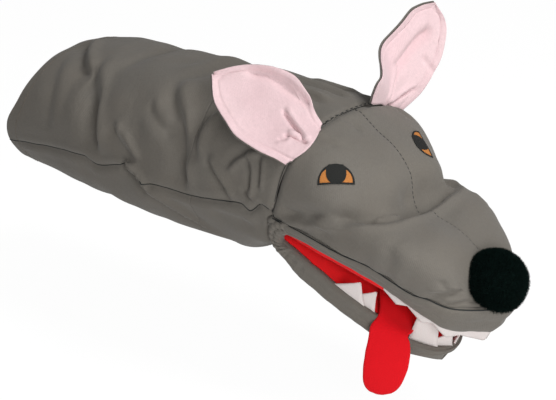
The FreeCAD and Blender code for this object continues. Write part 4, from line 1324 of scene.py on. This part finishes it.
class PUPPET_OT_tongue(bpy.types.Operator):
    """Make the felt tongue that hangs over the right lip"""
    bl_idname = "puppet.tongue"
    bl_label = "Tongue"

    def execute(self, context):
        sizes = context.scene.puppet_sizes
        station = 120.5
        rim = np.array((station, -float(jaw_half_width(station)), float(rim_height(station))))
        back = np.array((80.0, 4.0, RIM_HEIGHT + 1.5))
        lay = [back, back + (rim - back) * 0.5 + (0, 0, 3.0), rim + (-3.0, 6.0, 3.4), rim + (0.2, 0.0, 2.6)]
        lay = placed(lay, JAW_FRAME)
        edge = placed([rim + (0.6, -3.6, 0.2)], JAW_FRAME)[0]
        away = np.array((0.469, -0.883, 0.0))
        level = np.array((0.883, 0.469, 0.0))
        drops = (
            (4, 1.0, -0.6), (12, 1.8, -1.2), (22, 2.4, -2.0),
            (34, 2.4, -3.6), (44, 1.8, -5.2), (54.5, 0.8, -6.6))
        hang = [edge + (away * out + level * aside - (0, 0, down)) * MM for down, out, aside in drops]
        centre = smooth_line(np.concatenate([lay, [edge], hang]), 72)
        along = np.concatenate([[0], np.cumsum(np.linalg.norm(np.diff(centre, axis=0), axis=1))])
        origin = placed([(0.0, 0.0, 0.0)], JAW_FRAME)[0]
        rim_tangent = placed([(1.0, 0.5, 0.0)], JAW_FRAME)[0] - origin
        rim_tangent /= np.linalg.norm(rim_tangent)
        left = along[-1] - along
        width = eased(
            (0, 0.8, 2.5, 6, 11, 18, 27, 36, 46, 56, 66, 78, 110),
            (3.0, 6.5, 9.4, 12.6, 14.8, 16.2, 17.2, 17.2, 16.2, 15.8, 15.2, 14.4, 13.0), left / MM)
        drop = smoothstep(70.0, 40.0, left / MM)
        rows = []
        for k, point in enumerate(centre):
            direction = rim_tangent * (1 - drop[k]) + level * drop[k]
            direction /= np.linalg.norm(direction)
            across = np.linspace(-1, 1, 19)
            cup = away * (1 - across[:, None] ** 2) * 0.0010 * drop[k]
            pinch = 1 - 0.17 * np.exp(-((left[k] / MM - 57) / 7) ** 2) * (across > 0)
            rows.append(point + direction * ((across * pinch)[:, None] * width[k] * MM) + cup)
        cells = np.array(rows)
        tongue = grid_piece("tongue_felt", cells, material("tongue_felt"))
        thicken(tongue, sizes.felt_thickness, 0.0)
        pivot = Vector(JOINTS["tongue_swing"]["pos_m"])
        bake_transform(tongue)
        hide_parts("tongue_root", "tongue_tip")
        return {"FINISHED"}


# ---------------------------------------------------------------- nose, eyes and ears

class PUPPET_OT_nose(bpy.types.Operator):
    """Make the pompom nose"""
    bl_idname = "puppet.nose"
    bl_label = "Nose"

    def execute(self, context):
        sizes = context.scene.puppet_sizes
        centre = placed([(HEAD_LENGTH * 0.892, -1.5, 36.6)], HEAD_FRAME)[0]
        radius = 0.0242 - sizes.fibre_length * 0.45
        bpy.ops.mesh.primitive_ico_sphere_add(subdivisions=5, radius=radius)
        ball = bpy.context.object
        ball.name = "nose_ball"
        for vertex in ball.data.vertices:
            lump = noise.noise(vertex.co * 130.0) * 0.0005 + noise.noise(vertex.co * 420.0) * 0.0003
            vertex.co += vertex.co.normalized() * lump
        ball.data.transform(Matrix.Translation(Vector(centre)))
        ball.data.update()
        tree = bpy.data.node_groups.get("clipped_pile") or pile_tree()
        ball.data.materials.append(material("pompom"))
        grown(ball, tree, {
            "Density": 2.4e6, "Fibre Length": sizes.fibre_length, "Fibre Radius": 0.00028, "Lean": 0.45,
            "Pile": material("pompom"),
        })
        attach(ball, "head")
        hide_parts("nose_pompom")
        return {"FINISHED"}


class PUPPET_OT_eyes(bpy.types.Operator):
    """Make the two half-moon eyes"""
    bl_idname = "puppet.eyes"
    bl_label = "Eyes"

    def execute(self, context):
        skin = bpy.data.objects["head_skin"]
        tree = BVHTree.FromPolygons(
            [v.co.copy() for v in skin.data.vertices], [tuple(p.vertices) for p in skin.data.polygons])
        eyes = (
            ("right", Vector((41.8, -66.4, 69.6)), Vector((19, 17, 7)), Vector((0.28, -0.66, 0.69))),
            ("left", Vector((50.0, 38.5, 80.5)), Vector((19, -7, -2.4)), Vector((0.20, 0.35, 0.90))),
        )
        for name, centre, run, facing in eyes:
            along = run.normalized()
            outward = (facing - along * facing.dot(along)).normalized()
            up = along.cross(outward)
            up = up if up.z > 0 else -up
            turn = HEAD_FRAME.to_3x3()
            place = (HEAD_FRAME @ (centre * MM), turn @ along, turn @ up, turn @ outward)
            patch = self.patch(name, place, tree)
            black = self.black(name, place, tree)
            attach(patch, "head")
            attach(black, "head")
            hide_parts(name + "_eye_patch")
            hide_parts(name + "_eye_black")
        return {"FINISHED"}

    def laid(self, name, cells, place, tree, lift, finish):
        """Lay a flat shape, in millimetres along and up, onto the head's skin."""
        centre, along, up, outward = place
        points = []
        for a, b in cells.reshape(-1, 2):
            start = centre + along * a * MM + up * b * MM + outward * 0.04
            hit = tree.ray_cast(start, -outward)
            if hit[0] is None:
                raise RuntimeError("the eye " + name + " misses the head")
            points.append(tuple(hit[0] + outward * lift * MM))
        grid = np.array(points).reshape(cells.shape[0], cells.shape[1], 3)
        return grid_piece(name, grid, material(finish))

    def half_moon(self, inset, count=41):
        """The outline of the half-moon, from its rear corner over the top to its front corner."""
        angle = np.linspace(math.pi, 0, count)
        half = 13.9 - inset
        return np.stack([half * np.cos(angle), inset + (15.5 - 2 * inset) * np.sin(angle) ** 0.9], axis=1)

    def patch(self, name, place, tree):
        top = self.half_moon(0.8)
        rows = [np.stack([top[:, 0], 0.8 + (top[:, 1] - 0.8) * t], axis=1) for t in np.linspace(0, 1, 9)]
        return self.laid(name + "_eye_iris", np.array(rows)[::-1], place, tree, 0.30, "iris")

    def black(self, name, place, tree):
        outer = self.half_moon(0.0)
        inner = self.half_moon(1.6)
        inner[:, 1] -= 1.4 * np.sin(np.linspace(0, math.pi, len(inner))) ** 4
        arch = np.array([outer + (inner - outer) * t for t in np.linspace(0, 1, 4)])
        base = np.array([[(a, t) for a in np.linspace(-13.8, 13.8, 41)] for t in (1.4, 0.7, 0.0)])
        rows = []
        for b in np.linspace(0.6, 15.0, 17):
            half = 7.6 * (1 - abs((b - 8.6) / 8.6) ** 2.3) ** 0.5
            rows.append([(a * max(half, 2.0), b) for a in np.linspace(-1, 1, 15)])
        pupil = np.array(rows)[::-1]
        pieces = [
            self.laid(name + "_eye_rim", arch, place, tree, 0.55, "eye_black"),
            self.laid(name + "_eye_base", base, place, tree, 0.57, "eye_black"),
            self.laid(name + "_eye_pupil", pupil, place, tree, 0.60, "eye_black"),
        ]
        return join(name + "_eye_outline", pieces)


class PUPPET_OT_ears(bpy.types.Operator):
    """Make the two lined ears"""
    bl_idname = "puppet.ears"
    bl_label = "Ears"

    def execute(self, context):
        for name, side, tilt, stand_off in (("right", -1, 59.0, 3.7), ("left", 1, -10.0, 4.5)):
            place = self.ear_frame(side, tilt, stand_off)
            front = self.leaf(name, 0.6)
            lining = grid_piece(name + "_ear_cotton", placed(front, place), material("pink"))
            thicken(lining, EAR_THICKNESS * MM)
            behind = self.leaf(name, 0.0) - np.array((0, 1.5, 0))
            back = grid_piece(name + "_ear_cloth", placed(behind, place), material("twill"))
            thicken(back, EAR_THICKNESS * MM)
            for piece, node, slot in (
                    (lining, name + "_ear_lining", "pink_cotton"), (back, name + "_ear_back", "grey_twill")):
                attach(piece, name + "_ear")
                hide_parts(node)
        return {"FINISHED"}

    def ear_frame(self, side, tilt, stand_off):
        """The ear's frame: X along its base, Y out of its front, Z towards its tip."""
        share = np.array([0.01])
        rows = head_rows(share)
        high = HEAD_FRAME @ (Vector((1.8, side * rows[5][0][0], rows[5][1][0])) * MM)
        low = HEAD_FRAME @ (Vector((1.8, side * rows[3][0][0], rows[3][1][0])) * MM)
        along = (low - high).normalized()
        upright = Vector((0, side * 0.46, 0.88))
        upright = (upright - along * upright.dot(along)).normalized()
        backward = along.cross(upright)
        backward = backward if backward.x < 0 else -backward
        sense = 1 if along.cross(upright).dot(backward) > 0 else -1
        turn = Matrix.Rotation(math.radians(tilt) * sense, 3, along)
        blade = turn @ upright
        front = -(turn @ backward)
        middle = high + (low - high) * 0.5 + upright * stand_off * MM
        frame_matrix = Matrix.Identity(4)
        for column, axis in enumerate((along, front, blade, middle)):
            for row in range(3):
                frame_matrix[row][column] = axis[row]
        return frame_matrix

    def leaf(self, name, inset):
        """The leaf in millimetres: cupped, with its base pleated in and a blunt tip."""
        share = np.linspace(-0.05, 1, 74)
        stations, inner, outer = np.transpose(EAR_FORM[name])
        inner = eased(stations, inner, share) - inset
        outer = eased(stations, outer, share) - inset
        length = EAR_LENGTH[name] - inset
        if name == "left":
            sag = -8.0 * smoothstep(-18, -48, np.linspace(-48, 16, EAR_COLUMNS))
        else:
            sag = -1.5 * (1 - np.linspace(-1, 1, EAR_COLUMNS) ** 2)
        across = np.linspace(0, 1, EAR_COLUMNS)
        x = -inner[:, None] + (inner + outer)[:, None] * across[None]
        down = np.clip(1 - share[:, None], 0, 1.05)
        z = length * share[:, None] + sag[None] * down ** 3
        from_middle = 2 * across[None] - 1
        cup = 6.0 * (from_middle ** 2) * (0.3 + 0.7 * np.sin(math.pi * np.clip(share, 0, 1)[:, None]) ** 0.6)
        if name == "right":
            cup = cup + 8.0 * (1 - from_middle ** 2) * down ** 3
            z = np.where(share[:, None] < 0, z * (1 - from_middle ** 2), z)
        border = np.minimum((inner + outer)[:, None] * np.minimum(across, 1 - across)[None], length * down)
        cup = cup - 0.9 * np.exp(-((border - 5.5) / 1.1) ** 2)
        grid = np.stack([x, cup + 0 * z, z], axis=2)
        if name == "left":
            folds = (
                ([(-18, -4), (-17, 14), (-16, 34)], 3.4, 1.8), ([(-17, -4), (-4, 10), (10, 30)], 3.8, 1.8),
                ([(-17, 26), (-15, 50), (-6, 80)], 6.0, 5.0), ([(-4, 52), (6, 50), (18, 44)], 1.2, 2.6),
            )
        else:
            folds = (
                ([(1, -4), (-3, 12), (-10, 32)], 3.8, 1.7), ([(1, -4), (3, 6), (5, 16)], 3.0, 1.5),
                ([(-24, 10), (-25, 38), (-22, 62), (-12, 76)], 3.4, 4.0),
                ([(12, 18), (8, 13), (4, 16)], 1.4, 1.8),
            )
        for line, depth, width in folds:
            grid = press_fold(grid, (1, 1), line, depth, width, 0.6, fade=0.2)
        grid = ruffle(grid, 20.0, 1.3, 11 if name == "left" else 12)
        if name == "left":
            turn = math.radians(34) * smoothstep(2, 42, grid[..., 2])
            x, y = grid[..., 0].copy(), grid[..., 1].copy()
            grid[..., 0] = x * np.cos(turn) - y * np.sin(turn)
            grid[..., 1] = x * np.sin(turn) + y * np.cos(turn)
        return grid


class PUPPET_OT_corners(bpy.types.Operator):
    """Make the stitched cloth at both corners of the mouth"""
    bl_idname = "puppet.corners"
    bl_label = "Mouth Corners"

    def execute(self, context):
        for name, side in (("right", -1), ("left", 1)):
            inner = self.edge(
                side, [(26, 67.6, 9.4), (19, 68.8, 8.2), (14.5, 69.6, 5.4)],
                [(15, 69.0, 0.6), (21, 67.8, 0.6), (28, 66.8, 0.7)])
            outer = self.edge(
                side, [(22, 72.2, 17.6), (11, 73.4, 16.6), (3.5, 73.2, 10.5)],
                [(6.5, 71.2, -2.2), (14, 70.0, -6.4), (26, 68.2, -10.4)])
            rows = []
            index = np.arange(CORNER_POINTS)
            ends = index / index[-1]
            ends = smoothstep(0, 0.2, ends) * smoothstep(0, 0.2, 1 - ends)
            for t in np.linspace(0, 1, 19):
                swell = 1.4 * math.sin(math.pi * t) ** 0.7 + 1.5 * abs(math.sin(2 * math.pi * t))
                pucker = np.sin(index * 1.15 + 2.0 * t) * math.sin(math.pi * t)
                line = inner * (1 - t) + outer * t
                line[:, 1] += side * ((swell + pucker + 1.2) * ends - 1.2)
                rows.append(line * MM)
            tuck = inner.copy()
            tuck[:, 1] -= side * 4.0
            cells = np.array([tuck * MM] + rows)
            if side < 0:
                cells = cells[:, ::-1]
            web = grid_piece("corner_cloth_" + name, cells, material("twill"))
            thicken(web, CORNER_THICKNESS * MM, 0.0)
            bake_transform(web)
            tacks = []
            for height in (15.4, 17.0):
                line = placed([(x, side * 74.4, height + 0.1 * x) for x in (6.0, 9.5, 13.0)], HEAD_FRAME)
                tacks.append(sewn("tack", line, material("thread"), 0.28, unbroken=True))
            bar = join("corner_tack_" + name, tacks)
            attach(bar, "head")
        return {"FINISHED"}

    def edge(self, side, upper, lower):
        """One edge of the corner's cloth, from points of the head down to points of the jaw."""
        parts = [
            placed(np.array(points) * (1, side, 1), place) / MM
            for points, place in ((upper, HEAD_FRAME), (lower, JAW_FRAME))]
        return smooth_line(np.concatenate(parts), CORNER_POINTS)


# ---------------------------------------------------------------- carried-over inner pieces

class PUPPET_OT_inside(bpy.types.Operator):
    """Finish the boards and the pockets that the hand meets"""
    bl_idname = "puppet.inside"
    bl_label = "Inside"

    def execute(self, context):
        finishes = {
            "finger_pocket": "pocket", "thumb_pocket": "pocket", "upper_jaw_board": "wadding",
            "lower_jaw_board": "wadding",
        }
        for node, finish in finishes.items():
            piece = frame["nodes"][node]
            for slot in piece.material_slots:
                slot.material = material(finish)
        return {"FINISHED"}


# ---------------------------------------------------------------- stage

def stage_finish():
    """A floor that stays white to the camera and keeps a faint shadow."""
    finish = Finish("finish_floor")
    matt = finish.node("ShaderNodeBsdfDiffuse", None, {"Color": (0.86, 0.86, 0.86, 1.0)})["BSDF"]
    glow = finish.node("ShaderNodeEmission", None, {"Color": (1, 1, 1, 1), "Strength": 1.06})["Emission"]
    rays = finish.node("ShaderNodeLightPath")
    seen = (rays["Is Camera Ray"] + rays["Is Glossy Ray"] + rays["Is Transmission Ray"]).clamped() * 0.90
    mixed = finish.node("ShaderNodeMixShader", None, {0: seen, 1: matt, 2: glow})["Shader"]
    finish.tree.links.new(mixed.socket, finish.output.inputs["Surface"])
    return finish.material


class PUPPET_OT_stage(bpy.types.Operator):
    """Set the floor, the soft lights and the camera"""
    bl_idname = "puppet.stage"
    bl_label = "Stage"

    def execute(self, context):
        scene = context.scene
        scene.view_settings.view_transform = "Standard"
        floor_gap = 0.03
        bpy.ops.mesh.primitive_plane_add(size=14.0, location=(0, 0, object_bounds()[0][2] - floor_gap))
        floor = context.object
        floor.name = "floor"
        floor.data.materials.append(stage_finish())
        floor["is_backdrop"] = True
        world = scene.world or bpy.data.worlds.new("studio")
        scene.world = world
        world.use_nodes = True
        tree = world.node_tree
        tree.nodes.clear()
        white = (1, 1, 1, 1)
        soft = add_node(tree, "ShaderNodeBackground", None, {"Color": white, "Strength": 0.30})
        bright = add_node(tree, "ShaderNodeBackground", None, {"Color": white, "Strength": 1.0})
        seen = add_node(tree, "ShaderNodeLightPath")["Is Camera Ray"]
        mixed = add_node(tree, "ShaderNodeMixShader", None, {0: seen, 1: soft[0], 2: bright[0]})[0]
        add_node(tree, "ShaderNodeOutputWorld", None, {"Surface": mixed})
        target = Vector((0.248, 0.0, -0.044))
        face = Vector((0.42, -0.05, -0.07))
        self.lamp("front", face, Vector((0.85, -0.72, 0.30)), 1.0, 0.5, 6.2)
        self.lamp("key", face, Vector((0.60, 0.12, 1.00)), 1.9, 0.7, 22.5)
        camera = bpy.data.objects.new("camera", bpy.data.cameras.new("camera"))
        scene.collection.objects.link(camera)
        camera.data.lens = 75.0
        camera.data.sensor_width = 36.0
        back = Vector((0.591, -0.730, 0.342)).normalized()
        stand_off = 0.985
        camera.location = target + back * stand_off
        camera.rotation_euler = (-back).to_track_quat("-Z", "Y").to_euler()
        scene.camera = camera
        return {"FINISHED"}

    def lamp(self, name, target, direction, distance, size, power):
        """A round soft light that faces a place from a direction."""
        light = bpy.data.lights.new(name, "AREA")
        light.shape = "DISK"
        light.size = size
        light.energy = power
        lamp = bpy.data.objects.new(name, light)
        bpy.context.scene.collection.objects.link(lamp)
        lamp.location = target + direction.normalized() * distance
        lamp.rotation_euler = direction.normalized().to_track_quat("Z", "Y").to_euler()


class PUPPET_PT_panel(bpy.types.Panel):
    """Sizes, colours and steps of the puppet"""
    bl_idname = "PUPPET_PT_panel"
    bl_label = "Sock Puppet"
    bl_space_type = "VIEW_3D"
    bl_region_type = "UI"
    bl_category = "Puppet"

    def draw(self, context):
        for group in (context.scene.puppet_sizes, context.scene.puppet_colours):
            column = self.layout.column(align=True)
            for name in group.__annotations__:
                column.prop(group, name)
        for step in STEPS:
            self.layout.operator(step.bl_idname)


STEPS = (
    PUPPET_OT_sleeve, PUPPET_OT_head, PUPPET_OT_lips, PUPPET_OT_mouth, PUPPET_OT_teeth, PUPPET_OT_tongue,
    PUPPET_OT_nose, PUPPET_OT_eyes, PUPPET_OT_ears, PUPPET_OT_corners, PUPPET_OT_inside, PUPPET_OT_stage,
)
CLASSES = (PuppetColours, PuppetSizes) + STEPS + (PUPPET_PT_panel,)


def register():
    for cls in CLASSES:
        bpy.utils.register_class(cls)
    bpy.types.Scene.puppet_colours = PointerProperty(type=PuppetColours)
    bpy.types.Scene.puppet_sizes = PointerProperty(type=PuppetSizes)


def unregister():
    del bpy.types.Scene.puppet_sizes
    del bpy.types.Scene.puppet_colours
    for cls in reversed(CLASSES):
        bpy.utils.unregister_class(cls)


def main():
    register()
    for step in STEPS:
        space, name = step.bl_idname.split(".")
        getattr(getattr(bpy.ops, space), name)()


if __name__ == "__main__":
    main()
